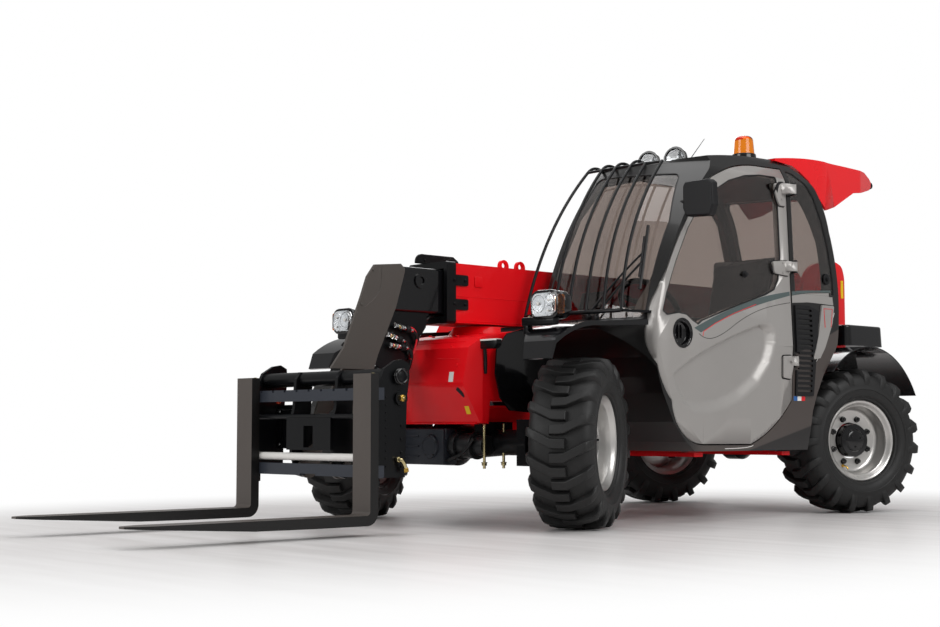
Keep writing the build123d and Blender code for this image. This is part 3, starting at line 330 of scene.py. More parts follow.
@dataclass(frozen=True)
class Plated(Finish):
    """Plated or machined metal: hard chrome, zinc or brass with faint turning lines."""

    name: str
    colour: str
    roughness: float = 0.2
    line_mm: float = 0.8
    lines: float = 0.05

    def build(self, tree: NodeTree) -> None:
        """A metal whose roughness wanders a little, with fine lines in the bump."""
        rough = remap(tree, noise(tree, 25.0, 3.0), To_Min=self.roughness * 0.7,
                      To_Max=self.roughness * 1.4)
        line = noise(tree, 1 / (self.line_mm * MM), 1.0)
        close(tree, {"Base Color": linear(self.colour), "Metallic": 1.0},
              {"Roughness": rough, "Normal": bump(tree, line, self.lines, 0.0004)})


@dataclass(frozen=True)
class Cast(Finish):
    """Sand-cast iron under thick paint: a lumpy skin with a dull gloss."""

    name: str
    colour: str
    roughness: float = 0.45
    lump_mm: float = 6.0

    def build(self, tree: NodeTree) -> None:
        """Lumps in the bump, and paint that thins on the high spots."""
        lump = noise(tree, 1 / (self.lump_mm * MM), 5.0)
        close(tree, {"Roughness": self.roughness, "Specular IOR Level": 0.3,
                     "Coat Weight": 0.1, "Coat Roughness": 0.3},
              {"Base Color": blend(tree, lump, shade(self.colour, 0.8), shade(self.colour, 1.25)),
               "Normal": bump(tree, lump, 0.35, 0.001)})


@dataclass(frozen=True)
class Cloth(Finish):
    """Woven polyester seat cloth: crossed threads with a soft sheen at grazing angles."""

    name: str
    colour: str
    thread_mm: float = 2.4

    def build(self, tree: NodeTree) -> None:
        """Two crossed sets of thread waves; drawn a little coarse so that they show."""
        scale = 1 / (self.thread_mm * MM) / 3.2
        waves = [node(tree, "TexWave", {"bands_direction": axis, "Scale": scale,
                                        "Distortion": 0.6}, {"Vector": own_place(tree)})
                 for axis in ("X", "Z")]
        weave = maths(tree, "MULTIPLY", *(wave.outputs["Fac"] for wave in waves))
        close(tree, {"Roughness": 0.85, "Sheen Weight": 0.25},
              {"Base Color": blend(tree, weave, shade(self.colour, 0.6), shade(self.colour, 1.4)),
               "Normal": bump(tree, weave, 0.4, 0.0008)})


RED = Enamel("signal_red_enamel", "e00b16", specular=0.15, coat=0.2, coat_roughness=0.12)
BLACK = Enamel("black_satin_enamel", "0c0d0f", roughness=0.34, specular=0.15, coat=0.15)
TAUPE = Enamel("warm_grey_enamel", "4b4642", roughness=0.42, coat=0.1, coat_roughness=0.25)
# The forks' sideways faces take painted shade in a near-black colour.
FORK_GREY = Enamel("fork_enamel_painted_side_shade", "4f4945", roughness=0.42, coat=0.1,
                   coat_roughness=0.25, side_shade_colour="121111")
SLATE = Enamel("slate_grey_enamel", "2c3038", roughness=0.36, coat=0.2, coat_roughness=0.2)
SILVER = Enamel("silver_base_coat_enamel", "a09d9a", roughness=0.36, metallic=0.35, coat=0.3)
RIM_SILVER = Enamel("rim_silver_enamel", "c3c1be", roughness=0.32, metallic=0.75, coat=0.3)
CAB_SKIN = CabSkin("anthracite_cab_enamel", "131212", "453e3b", "1c1a1a")
GLOSS_BLACK = Moulded("gloss_black_abs", "0c0c0e", roughness=0.16, grain=0.02, coat=0.5,
                      specular=0.25)
GRAINED = Moulded("grained_black_pp", "141416", roughness=0.5, specular=0.25)
PALE = Moulded("pale_blank_plate", "dcdad6", roughness=0.4, grain=0.02)
YELLOW = Moulded("yellow_blank_plate", "e8c21a", roughness=0.4, grain=0.02)
BLUE = Moulded("blue_stripe_film", "2c5fa0", roughness=0.35, grain=0.02)
STRIPE_GREEN = Moulded("grey_green_stripe_film", "4a5656", roughness=0.3, grain=0.02, coat=0.3)
STRIPE_RED = Moulded("red_stripe_film", "d0202a", roughness=0.35, grain=0.02)
RED_SKIN = Moulded("red_moulded_skin", "e00b16", roughness=0.28, grain=0.02, coat=0.35,
                   specular=0.2)
TINTED = Glazing("bronze_tinted_glass", "b3aaa5")
CLEAR = Glazing("clear_lamp_glass", "f4f6f8")
AMBER = Glazing("amber_acrylic", "dd7a0a", roughness=0.12)
RUBY = Glazing("red_acrylic", "d4121c", roughness=0.15)
TYRE_RUBBER = Rubber("tyre_rubber", "161616")
HOSE_RUBBER = Rubber("hose_rubber", "101011", roughness=0.4)
CHROME = Plated("hard_chrome", "dcdcdc", roughness=0.08, lines=0.02)
ZINC = Plated("yellow_zinc_plate", "c9bb8e", roughness=0.25)
BRASS = Plated("turned_brass", "c8a24e", roughness=0.25)
CASTING = Cast("painted_casting", "17181a")
BLUE_CASTING = Cast("blue_black_casting", "23272f")
SEAT_CLOTH = Cloth("charcoal_seat_cloth", "2b2b2e")


# ---------------------------------------------------------------- shapes
class View(Enum):
    """The plane an outline is drawn in, as its two axes and the axis it is thickened along."""

    SIDE = ((0, 1, 0), (0, 0, 1), (1, 0, 0))
    FRONT = ((1, 0, 0), (0, 0, 1), (0, 1, 0))
    PLAN = ((1, 0, 0), (0, 1, 0), (0, 0, 1))


def soften(shape: bmesh.types.BMesh, edges: list, width: float, segments: int = 2) -> None:
    """Round off some edges of a shape, if the width isn't nought."""
    if width > 0 and edges:
        bmesh.ops.bevel(shape, geom=edges, offset=width, offset_type="OFFSET", segments=segments,
                        profile=0.5, affect="EDGES", clamp_overlap=True, material=-1)


def join(form: bmesh.types.BMesh, shape: bmesh.types.BMesh) -> None:
    """Add a shape to another one, and free it."""
    scratch = bpy.data.meshes.new("scratch")
    shape.to_mesh(scratch)
    shape.free()
    form.from_mesh(scratch)
    bpy.data.meshes.remove(scratch)


def block(size: Place, edge: float = 0.0, centre: Place = (0, 0, 0)) -> bmesh.types.BMesh:
    """A rectangular block with softened edges.

    Args:
        size: its three sizes in mm.
        edge: width of the rounding.
        centre: where its middle is.

    Returns:
        The shape.
    """
    shape = bmesh.new()
    place = Matrix.Translation(centre) @ Matrix.Diagonal((*size, 1.0))
    bmesh.ops.create_cube(shape, size=1.0, matrix=place)
    soften(shape, shape.edges[:], edge)
    return shape


def rod(radius: float, length: float, edge: float = 0.0, sides: int = 28,
        tip: float | None = None) -> bmesh.types.BMesh:
    """A round bar, or a cone where tip is given, that stands on the origin along Z.

    Args:
        radius: at its foot.
        length: along Z.
        edge: rounding of both rims.
        sides: facets round it; six make a hexagon.
        tip: radius at its top, if it differs.

    Returns:
        The shape.
    """
    shape = bmesh.new()
    bmesh.ops.create_cone(shape, cap_ends=True, segments=sides, radius1=radius,
                          radius2=radius if tip is None else tip, depth=length,
                          matrix=Matrix.Translation((0, 0, length / 2)))
    rims = [e for e in shape.edges if abs(e.verts[0].co.z - e.verts[1].co.z) < 1e-4]
    soften(shape, rims, edge)
    return shape


def lathe(profile: Sequence[Spot], steps: int = 48, ring: bool = True) -> bmesh.types.BMesh:
    """Spin a profile of (radius, height) points about Z.

    Args:
        profile: the points, in order.
        steps: facets round the turn.
        ring: whether the last point joins the first; otherwise both ends lie on the axis.

    Returns:
        The shape.
    """
    shape = bmesh.new()
    verts = [shape.verts.new((radius, 0, height)) for radius, height in profile]
    ends = verts[1:] + verts[:1] if ring else verts[1:]
    edges = [shape.edges.new(pair) for pair in zip(verts, ends)]
    bmesh.ops.spin(shape, geom=verts + edges, cent=(0, 0, 0), axis=(0, 0, 1), dvec=(0, 0, 0),
                   angle=math.tau, steps=steps, use_merge=True, use_duplicate=False)
    bmesh.ops.remove_doubles(shape, verts=shape.verts[:], dist=1e-3)
    bmesh.ops.recalc_face_normals(shape, faces=shape.faces[:])
    return shape


def thicken(shape: bmesh.types.BMesh) -> list[bmesh.types.BMVert]:
    """Extrude all of a flat shape, and return the new points, which still lie on the old."""
    grown = bmesh.ops.extrude_face_region(shape, geom=shape.faces[:])
    return [g for g in grown["geom"] if isinstance(g, bmesh.types.BMVert)]


def plate(outline: Sequence[Spot], thickness: float, view: View, start: float,
          corner: float = 0.0, edge: float = 0.0) -> bmesh.types.BMesh:
    """A flat plate cut to an outline.

    Args:
        outline: its corners in the view's two axes.
        thickness: along the view's third axis; it may be negative.
        view: the plane of the outline.
        start: where the outline lies on the third axis.
        corner: radius of its corners.
        edge: rounding of the rims of both faces.

    Returns:
        The shape.
    """
    shape = bmesh.new()
    right, up, out = (Vector(axis) for axis in view.value)
    verts = [shape.verts.new(right * a + up * b + out * start) for a, b in outline]
    shape.faces.new(verts)
    if corner:
        bmesh.ops.bevel(shape, geom=verts, offset=corner, offset_type="OFFSET", segments=4,
                        profile=0.5, affect="VERTICES", clamp_overlap=True, material=-1)
    bmesh.ops.translate(shape, verts=thicken(shape), vec=out * thickness)
    bmesh.ops.recalc_face_normals(shape, faces=shape.faces[:])
    rims = [e for e in shape.edges if abs((e.verts[0].co - e.verts[1].co).dot(out)) < 1e-4]
    soften(shape, rims, edge)
    return shape


def pipe(route: Sequence[Place], radius: float, smooth: bool = True, closed: bool = False,
         rounds: int = 3) -> bmesh.types.BMesh:
    """A round tube or bead along a route.

    Args:
        route: points given one by one, or read from an edge.
        radius: of the tube.
        smooth: whether the line is a NURBS curve rather than straight runs.
        closed: whether the end joins the start.
        rounds: bevel resolution of the tube.

    Returns:
        The shape, closed at its ends.
    """
    curve = bpy.data.curves.new("line", "CURVE")
    curve.dimensions = "3D"
    spline = curve.splines.new("NURBS" if smooth else "POLY")
    spline.points.add(len(route) - 1)
    for point, place in zip(spline.points, route):
        point.co = (*place, 1.0)
    if smooth:
        spline.order_u = 3
        spline.use_endpoint_u = not closed
        spline.resolution_u = 6
    spline.use_cyclic_u = closed
    curve.bevel_depth = radius
    curve.bevel_resolution = rounds
    curve.use_fill_caps = not closed
    holder = bpy.data.objects.new("line", curve)
    mesh = bpy.data.meshes.new_from_object(holder)
    shape = bmesh.new()
    shape.from_mesh(mesh)
    bpy.data.objects.remove(holder)
    bpy.data.curves.remove(curve)
    bpy.data.meshes.remove(mesh)
    bmesh.ops.remove_doubles(shape, verts=shape.verts[:], dist=radius * 0.01)
    bmesh.ops.recalc_face_normals(shape, faces=shape.faces[:])
    return shape


def oblong(left: float, low: float, right: float, high: float) -> tuple[Spot, ...]:
    """The corners of a rectangle, from its lowest and highest ones."""
    return ((left, low), (right, low), (right, high), (left, high))


def circle(a: float, b: float, radius: float, angles: Sequence[float]) -> list[Spot]:
    """Spots at some angles, in radians, on a circle round (a, b)."""
    return [(a + radius * math.cos(t), b + radius * math.sin(t)) for t in angles]


def stand(foot: Place, towards: Place = UP) -> Matrix:
    """Matrix that sets a shape made along Z on its foot, pointing along a direction."""
    turn = Vector(towards).to_track_quat("Z", "Y").to_matrix().to_4x4()
    return Matrix.Translation(foot) @ turn


def turned(centre: Place, angle: float, axis: str = "X") -> Matrix:
    """Where a shape goes that is turned about one axis, then moved to its centre."""
    return Matrix.Translation(centre) @ Matrix.Rotation(angle, 4, axis)


def cad_copy(frame: dict, name: str) -> bmesh.types.BMesh:
    """A copy of a CAD node's mesh, its doubles merged, in mm from the mid-wheelbase line."""
    form = bmesh.new()
    form.from_mesh(frame["nodes"][name].data)
    bmesh.ops.remove_doubles(form, verts=form.verts[:], dist=1e-5)
    form.transform(Matrix.Scale(1 / MM, 4) @ Matrix.Translation((0, -Workpiece.mid_y, 0)))
    form.normal_update()
    return form


class Workpiece:
    """A piece in the making, in mm from the mid-wheelbase line; shapes are added one by one."""

    mid_y = 0.0
    crease_deg = 35.0

    def __init__(self, name: str) -> None:
        """Start an empty piece with a name."""
        self.name = name
        self.mesh = bpy.data.meshes.new(name)
        self.form = bmesh.new()

    def add(self, shape: bmesh.types.BMesh, finish: Finish, place: Matrix | None = None) -> None:
        """Join a shape to the piece.

        Args:
            shape: the shape, which is used up.
            finish: the finish of all its faces.
            place: a matrix that moves it first.
        """
        material = finish.material()
        if material.name not in self.mesh.materials:
            self.mesh.materials.append(material)
        index = self.mesh.materials.find(material.name)
        for face in shape.faces:
            face.material_index = index
            face.smooth = True
        if place is not None:
            shape.transform(place)
        join(self.form, shape)

    def blocks(self, finish: Finish, *rows: tuple[Place, float, Place]) -> None:
        """Add softened blocks; each row gives size, edge and centre."""
        for row in rows:
            self.add(block(*row), finish)

    def rods(self, finish: Finish, towards: Place,
             *rows: tuple[float, float, float, int, Place]) -> None:
        """Add bars pointing one way; each row gives radius, length, edge, sides and foot."""
        for *sizes, foot in rows:
            self.add(rod(*sizes), finish, stand(foot, towards))

    def bolts(self, places: Sequence[Place], towards: Place, radius: float,
              finish: Finish) -> None:
        """Add hexagon heads with a washer at each place, standing out towards a direction."""
        for place in places:
            self.rods(finish, towards, (radius * 1.25, radius * 0.25, 0, 20, place),
                      (radius, radius * 0.8, radius * 0.12, 6, place))

    def fit(self, body: str, slot: str, *replaced: str) -> bpy.types.Object:
        """Take the piece to metres and to its place, and let it ride on a body.

        Args:
            body: the CAD body that carries it.
            slot: the record's material slot; it is not used.
            replaced: the CAD nodes that it stands for.

        Returns:
            The finished object.
        """
        self.form.transform(Matrix.Translation((0, self.mid_y, 0)) @ Matrix.Scale(MM, 4))
        self.form.to_mesh(self.mesh)
        self.form.free()
        self.mesh.set_sharp_from_angle(angle=math.radians(self.crease_deg))
        piece = bpy.data.objects.new(self.name, self.mesh)
        bpy.context.scene.collection.objects.link(piece)
        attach(piece, body)
        if replaced:
            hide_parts(*replaced)
        log.info("%s rides on %s", self.name, body)
        return piece


class Skin:
    """The outer surface of some CAD nodes, onto which trim drawn in one view is laid."""

    def __init__(self, frame: dict, names: Sequence[str], view: View, sign: int) -> None:
        """Gather the nodes' triangles; sign is the side of the view's third axis it faces."""
        form = bmesh.new()
        for name in names:
            join(form, cad_copy(frame, name))
        self.tree = BVHTree.FromBMesh(form)
        form.free()
        self.right, self.up, self.out = (Vector(axis) for axis in view.value)
        self.sign = sign
        self.last = 0.0

    def depth(self, a: float, b: float) -> float:
        """Where the surface lies on the view's third axis at a spot of the view."""
        start = self.right * a + self.up * b + self.out * self.sign * 3000
        hit = self.tree.ray_cast(start, self.out * -self.sign)[0]
        if hit is not None:
            self.last = hit.dot(self.out)
        return self.last

    def at(self, a: float, b: float, lift: float = 0.0) -> Vector:
        """The point of the surface at a spot of the view, lifted off it."""
        return (self.right * a + self.up * b
                + self.out * (self.depth(a, b) + self.sign * lift))

    def spots(self, places: Sequence[Spot], lift: float = 0.0) -> list[Place]:
        """Points of the surface at several spots of the view."""
        return [tuple(self.at(a, b, lift)) for a, b in places]

    def pad(self, outline: Sequence[Spot], lift: float, corner: float = 0.0,
            edge: float = 0.0, sink: float = 3.0) -> bmesh.types.BMesh:
        """A flat pad laid on the surface.

        Args:
            outline: its corners in the view.
            lift: how far its top stands off the surface.
            corner: radius of its corners.
            edge: rounding of its rim.
            sink: how far its foot reaches under the surface.

        Returns:
            The shape.
        """
        view = next(v for v in View if Vector(v.value[2]) == self.out)
        shape = plate(outline, 1.0, view, 0.0, corner=corner)
        for vert in shape.verts:
            top = vert.co.dot(self.out) > 0.5
            vert.co = self.at(vert.co.dot(self.right), vert.co.dot(self.up),
                              lift if top else -sink)
        bmesh.ops.recalc_face_normals(shape, faces=shape.faces[:])
        if edge:
            facing = self.out * self.sign
            crown = max(shape.faces, key=lambda f: f.calc_area() * f.normal.dot(facing))
            soften(shape, list(crown.edges), edge)
        return shape

    def band(self, upper: Sequence[Spot], lower: Sequence[Spot], lift: float = 0.7,
             columns: int = 40, rows: int = 3) -> bmesh.types.BMesh:
        """A thin film laid on the surface between two lines.

        Args:
            upper: points along its upper edge.
            lower: points along its lower edge.
            lift: how far it stands off the surface.
            columns: cells along it.
            rows: cells across it.

        Returns:
            The shape.
        """
        top, bottom = flowing(upper, columns), flowing(lower, columns)
        shape = bmesh.new()
        bmesh.ops.create_grid(shape, x_segments=columns, y_segments=rows, size=1.0)
        bmesh.ops.translate(shape, verts=thicken(shape), vec=(0, 0, 1))
        for vert in shape.verts:
            column = round((vert.co.x + 1) / 2 * columns)
            spot = bottom[column].lerp(top[column], (vert.co.y + 1) / 2)
            vert.co = self.at(spot.x, spot.y, lift if vert.co.z > 0.5 else -1.0)
        bmesh.ops.recalc_face_normals(shape, faces=shape.faces[:])
        return shape

    def line(self, places: Sequence[Spot], radius: float, smooth: bool = False,
             lift: float = 0.0) -> bmesh.types.BMesh:
        """A thin bead that follows the surface through spots of the view."""
        return pipe(self.spots(places, lift), radius, smooth=smooth, rounds=1)


def flowing(spots: Sequence[Spot], count: int) -> list[Vector]:
    """Points evenly spread along a smooth line through a few spots.

    Args:
        spots: the spots, in order.
        count: number of steps.

    Returns:
        count + 1 two-dimensional points.
    """
    known = [Vector(s) for s in spots]
    known = [2 * known[0] - known[1], *known, 2 * known[-1] - known[-2]]
    made = []
    for step in range(count + 1):
        place = step / count * (len(spots) - 1)
        at = min(int(place), len(spots) - 2)
        t = place - at
        a, b, c, d = known[at:at + 4]
        made.append(0.5 * (2 * b + (c - a) * t + (2 * a - 5 * b + 4 * c - d) * t * t
                           + (3 * b - a - 3 * c + d) * t ** 3))
    return made


def sealed(frame: dict, name: str, outward: Place) -> bmesh.types.BMesh:
    """A rubber bead along the edge of a pane's outer face.

    Args:
        name: the pane's node.
        outward: the direction its outer face looks.

    Returns:
        The shape.
    """
    form = cad_copy(frame, name)
    hidden = [f for f in form.faces if f.normal.dot(Vector(outward)) < 0.4]
    bmesh.ops.delete(form, geom=hidden, context="FACES")
    last = next(e for e in form.edges if e.is_boundary)
    walk = [last.verts[0], last.verts[1]]
    while walk[-1] is not walk[0]:
        last = next((e for e in walk[-1].link_edges if e.is_boundary and e is not last), None)
        if last is None:
            break
        walk.append(last.other_vert(walk[-1]))
    points = [tuple(v.co) for v in walk[:-1]]
    form.free()
    return pipe(points, 5.0, smooth=False, closed=True, rounds=2)


# ---------------------------------------------------------------- wheels
@dataclass(frozen=True)
class LugStation:
    """One cut across a tread lug: distance from the tyre's middle and radius at its foot and at
    its top, and how far round the tyre it is led."""

    foot: Spot
    top: Spot
    lead: float


@dataclass
class Wheels:
    """Four industrial tyres with staggered chevron lugs, on deep-dished rims with black hubs."""

    frame: dict
    lugs: int = 19
    crown: float = 386.0
    half_foot: float = 27.0
    half_top: float = 20.0
    stations: tuple[LugStation, ...] = (
        LugStation((-40, 366), (-36, 397), 0), LugStation((0, 368), (0, 400), 0),
        LugStation((32, 368), (32, 400), 2), LugStation((96, 364), (99, 398), 34),
        LugStation((128, 350), (136, 391), 52), LugStation((143, 328), (154, 361), 60),
        LugStation((147, 306), (157, 330), 62), LugStation((148, 292), (154, 300), 62),
    )
    half_carcass: tuple[Spot, ...] = (
        (0, 374), (60, 374), (100, 371), (124, 364), (138, 352), (147, 338), (152, 322),
        (155, 305), (155, 293), (157, 289), (157, 284), (153, 280), (151, 265), (146, 252),
        (138, 241), (134, 239), (131, 230), (123, 225), (110, 225), (103, 209), (60, 194),
    )
    rim: tuple[Spot, ...] = (
        (112, 224), (118, 224), (122, 219), (120, 212), (114, 206), (104, 200), (98, 191),
        (86, 187), (70, 184), (48, 181), (34, 177), (26, 169), (22, 158), (22, 100), (14, 100),
        (14, 160), (19, 173), (30, 184), (-66, 186), (-112, 204), (-119, 224), (-112, 224),
        (-106, 207), (-60, 192), (60, 192), (106, 207),
    )
    hub: tuple[Spot, ...] = (
        (-56, 0), (-56, 90), (-50, 92), (60, 92), (66, 88), (68, 64), (72, 60), (76, 56),
        (79, 50), (80, 0),
    )
    nuts: int = 8
    nut_circle: float = 126.0
    cap_screws: int = 3

    def lug(self, flank: int, angle: float) -> bmesh.types.BMesh:
        """One lug that reaches from past the middle over one shoulder.

        Args:
            flank: 1 or -1, the shoulder it reaches.
            angle: where it sits round the tyre, in radians.

        Returns:
            The shape, about Z.
        """
        shape = bmesh.new()
        columns = len(self.stations) - 1
        bmesh.ops.create_grid(shape, x_segments=columns, y_segments=1, size=1.0)
        raised = set(thicken(shape))
        for vert in shape.verts:
            station = self.stations[round((vert.co.x + 1) / 2 * columns)]
            top = vert in raised
            axial, radius = station.top if top else station.foot
            half = math.copysign(self.half_top if top else self.half_foot, vert.co.y)
            turn = angle + (station.lead + half) / self.crown
            vert.co = (radius * math.cos(turn), radius * math.sin(turn), -flank * axial)
        bmesh.ops.recalc_face_normals(shape, faces=shape.faces[:])
        soften(shape, [e for e in shape.edges if e.verts[0] in raised and e.verts[1] in raised
                       and e.calc_face_angle(0) > 0.5], 2.5, segments=1)
        return shape

    def tyre(self) -> bmesh.types.BMesh:
        """A whole tyre about Z, its chevrons pointing down at the front."""
        ring = [(radius, axial) for axial, radius in self.half_carcass]
        ring += [(radius, -axial) for axial, radius in reversed(self.half_carcass[1:])]
        whole = lathe(ring, steps=96)
        pitch = math.tau / self.lugs
        for flank in FLANKS.values():
            for step in range(self.lugs):
                join(whole, self.lug(flank, pitch * (step + (0.5 if flank > 0 else 0))))
        return whole

    def build(self) -> None:
        """Fit a tyre and a wheel at each corner."""
        joints = {joint["name"]: joint for joint in self.frame["joints"]}
        for end in ENDS:
            for side, flank in FLANKS.items():
                corner = f"{end}_{side}"
                joint = joints[f"{corner}_spin"]
                x, y, z = joint["pos_m"]
                centre = Vector((x, y - Workpiece.mid_y, z)) / MM
                axis = Vector(joint["axis"]).normalized()
                front = Vector(UP).cross(axis) * -1
                turn = Matrix((front, UP, -axis)).transposed().to_4x4()
                piece = Workpiece(f"tread_{corner}")
                piece.add(self.tyre(), TYRE_RUBBER, Matrix.Translation(centre) @ turn)
                piece.fit(f"wheel_{corner}", "tyre_rubber", f"tyre_{corner}")
                self.wheel(corner, centre, axis * flank)

    def wheel(self, corner: str, centre: Vector, outward: Vector) -> None:
        """Fit one dished wheel with hub, nuts and valve.

        Args:
            corner: name of the corner.
            centre: the wheel's middle.
            outward: its axis, pointing out of the machine.
        """
        place = stand(tuple(centre), tuple(outward))
        piece = Workpiece(f"wheel_{corner}")
        piece.add(lathe([(r, a) for a, r in self.rim], steps=72), RIM_SILVER, place)
        piece.add(lathe([(r, a) for a, r in self.hub], steps=48, ring=False), GLOSS_BLACK, place)
        for step in range(self.nuts):
            turn = Matrix.Rotation(math.tau * (step + 0.5) / self.nuts, 4, "Z")
            seat = place @ turn @ Matrix.Translation((self.nut_circle, 0, 22))
            for washer_nut_stud in ((17, 3, 0, 20), (14, 18, 1.5, 6), (7, 25, 1, 14)):
                piece.add(rod(*washer_nut_stud), GLOSS_BLACK, seat)
        for step in range(self.cap_screws):
            turn = Matrix.Rotation(math.tau * step / self.cap_screws + 0.4, 4, "Z")
            piece.add(rod(6, 5, edge=0.8, sides=6), GLOSS_BLACK,
                      place @ turn @ Matrix.Translation((36, 0, 79)))
        valve = place @ Matrix.Rotation(math.radians(-110), 4, "Z")
        piece.add(pipe(((150, 0, 20), (150, 0, 44), (158, 6, 58), (166, 14, 60)), 4.5), BRASS,
                  valve)
        piece.add(rod(9, 8, edge=1, sides=6), BRASS, valve @ Matrix.Translation((150, 0, 21)))
        piece.fit(f"wheel_{corner}", "silver_paint", f"rim_{corner}")


# ---------------------------------------------------------------- door
def within(spot: Vector, outline: Sequence[Spot]) -> bool:
    """Whether a spot lies inside an outline."""
    crossings = 0
    for (ay, az), (by, bz) in zip(outline, (*outline[1:], outline[0])):
        if (az > spot.y) != (bz > spot.y):
            crossings += spot.x < (by - ay) * (spot.y - az) / (bz - az) + ay
    return crossings % 2 == 1


def gap_to(spot: Vector, outline: Sequence[Spot]) -> float:
    """Least distance from a spot to an outline."""
    least = math.inf
    for start, end in zip(outline, (*outline[1:], outline[0])):
        a, run = Vector(start), Vector(end) - Vector(start)
        share = max(0.0, min(1.0, (spot - a).dot(run) / run.length_squared))
        least = min(least, (spot - a - run * share).length)
    return least


@dataclass
class Door:
    """Cab door: the CAD shell with a pressed bowl, a round pull, hinge covers and stripes."""

    pressed = {1: (-525.0, 345.0), 2: (525.0, 1035.0)}

    frame: dict
    bowl_rim: tuple[Spot, ...] = (
        (-505, 736), (-384, 805), (-195, 887), (7, 958), (218, 1018), (306, 1018), (330, 976),
        (312, 890), (267, 792), (183, 694), (50, 608), (-66, 563), (-212, 537), (-356, 540),
        (-429, 583), (-487, 672), (-515, 716),
    )
    bowl_floor: tuple[Spot, ...] = (
        (-482, 742), (-353, 821), (-194, 877), (6, 942), (172, 989), (241, 978), (242, 908),
        (212, 833), (129, 751), (-4, 675), (-151, 621), (-280, 607), (-375, 611), (-440, 663),
        (-486, 722),
    )
    bowl_depth: float = 31.0
    cell: float = 7.0
    skin_from: float = 700.0
    pull: Spot = (-446, 937)
    pull_radius: float = 60.0
    pull_depth: float = 27.0
    knob: Spot = (72, 1262)
    cover_end: float = 444.0
    hinge_covers: tuple[tuple[Spot, ...], ...] = (
        ((350, 1768), (440, 1782), (436, 1652), (384, 1652), (350, 1712)),
        ((300, 1346), (440, 1360), (440, 1276), (312, 1284)),
        ((366, 848), (440, 852), (440, 728), (370, 734)),
    )

    def shell(self) -> bmesh.types.BMesh:
        """A copy of the CAD door with the bowl and the pull's recess pressed into its skin."""
        form = cad_copy(self.frame, "door")
        for axis, (low, high) in self.pressed.items():
            for step in range(int((high - low) / self.cell) + 1):
                normal = Vector(View.SIDE.value[axis - 1])
                at = normal * (low + step * self.cell)
                faces = [f for f in form.faces if f.normal.x > 0.5 and self.near(f, axis, at[axis])]
                geom = list({e for f in faces for e in f.edges}) + faces
                geom += list({v for f in faces for v in f.verts})
                bmesh.ops.bisect_plane(form, geom=geom, dist=1e-3, plane_co=at, plane_no=normal)
        form.normal_update()
        moved = []
        for vert in form.verts:
            if vert.normal.x > 0.5 and vert.co.x > self.skin_from:
                sink = self.sink(Vector((vert.co.y, vert.co.z)))
                if sink > 0:
                    moved.append((vert, sink))
        for vert, sink in moved:
            vert.co.x -= sink
        bmesh.ops.smooth_vert(form, verts=[v for v, _ in moved], factor=0.5, use_axis_x=True,
                              use_axis_y=False, use_axis_z=False)
        return form

    def near(self, face: bmesh.types.BMFace, axis: int, place: float) -> bool:
        """Whether a face is crossed by a cut and lies over the pressed region."""
        values = [v.co[axis] for v in face.verts]
        others = [v.co[3 - axis] for v in face.verts]
        low, high = self.pressed[3 - axis]
        return (min(values) < place < max(values) and max(others) > low and min(others) < high)

    def sink(self, spot: Vector) -> float:
        """How far the skin is pressed in at a spot."""
        if (spot - Vector(self.pull)).length < self.pull_radius:
            return self.pull_depth
        if not within(spot, self.bowl_rim):
            return 0.0
        if within(spot, self.bowl_floor):
            return self.bowl_depth
        outer, inner = gap_to(spot, self.bowl_rim), gap_to(spot, self.bowl_floor)
        share = outer / (outer + inner)
        return self.bowl_depth * share * share * (3 - 2 * share)

    def build(self) -> None:
        """Fit the shell, its pull and covers, its stripes and the glass's seal."""
        skin = Skin(self.frame, ("door",), View.SIDE, 1)
        panel = Workpiece("door_panel")
        panel.crease_deg = 50.0
        panel.add(self.shell(), SILVER)
        panel.fit("door", "door_silver", "door")

        trim = Workpiece("door_trim")
        seat = stand(tuple(skin.at(*self.pull)), LEFT)
        pull = ((0, -25), (50, -25), (55, -22), (57, -2), (60, 1), (64, 1), (66, 4), (72, 4),
                (75, 1), (75, -3), (58, -4), (52, -27), (0, -27))
        trim.add(lathe(pull, steps=48, ring=False), GLOSS_BLACK, seat)
        trim.add(block((9, 66, 16), edge=3), GLOSS_BLACK, seat @ Matrix.Translation((0, 8, -12)))
        trim.add(rod(9, 4, edge=1), CHROME, seat @ Matrix.Translation((-34, -14, -25)))
        for outline in self.hinge_covers:
            middle = sum((Vector(s) for s in outline), Vector((0, 0))) / len(outline)
            grown = [middle + (Vector(s) - middle) * 1.1 for s in outline]
            gasket = [(min(y, self.cover_end), z) for y, z in grown]
            trim.add(skin.pad(gasket, 3, corner=12), GRAINED)
            trim.add(skin.pad(outline, 13, corner=12, edge=4), SILVER)
            trim.bolts(skin.spots([middle + Vector((12, dz)) for dz in (-26, 26)], 13), LEFT, 6,
                       SILVER)
        trim.add(skin.band(((-357, 966), (-187, 1032), (17, 1098), (228, 1156), (452, 1195)),
                           ((-306, 945), (-122, 1020), (50, 1075), (226, 1122), (452, 1173))),
                 STRIPE_GREEN)
        trim.add(skin.line(((-291, 928), (-284, 951), (-189, 996), (-36, 1053), (155, 1110)),
                           2.6, lift=-1), STRIPE_RED)
        trim.add(skin.line(((-322, 939), (-276, 908), (-144, 934), (47, 1038), (260, 1108),
                            (452, 1135)), 1.6, smooth=True, lift=-0.5), GRAINED)
        trim.fit("door", "trim_black")

        seal = Workpiece("door_glass_seal")
        seal.add(sealed(self.frame, "door_glass", LEFT), HOSE_RUBBER)
        glass = Skin(self.frame, ("door_glass",), View.SIDE, 1)
        knob = stand(tuple(glass.at(*self.knob)), LEFT)
        for shape in (rod(19, 6, 1.5), rod(10, 16, 2), block((34, 9, 8), 2, (0, 0, 14))):
            seal.add(shape, GRAINED, knob)
        seal.fit("door", "trim_black")


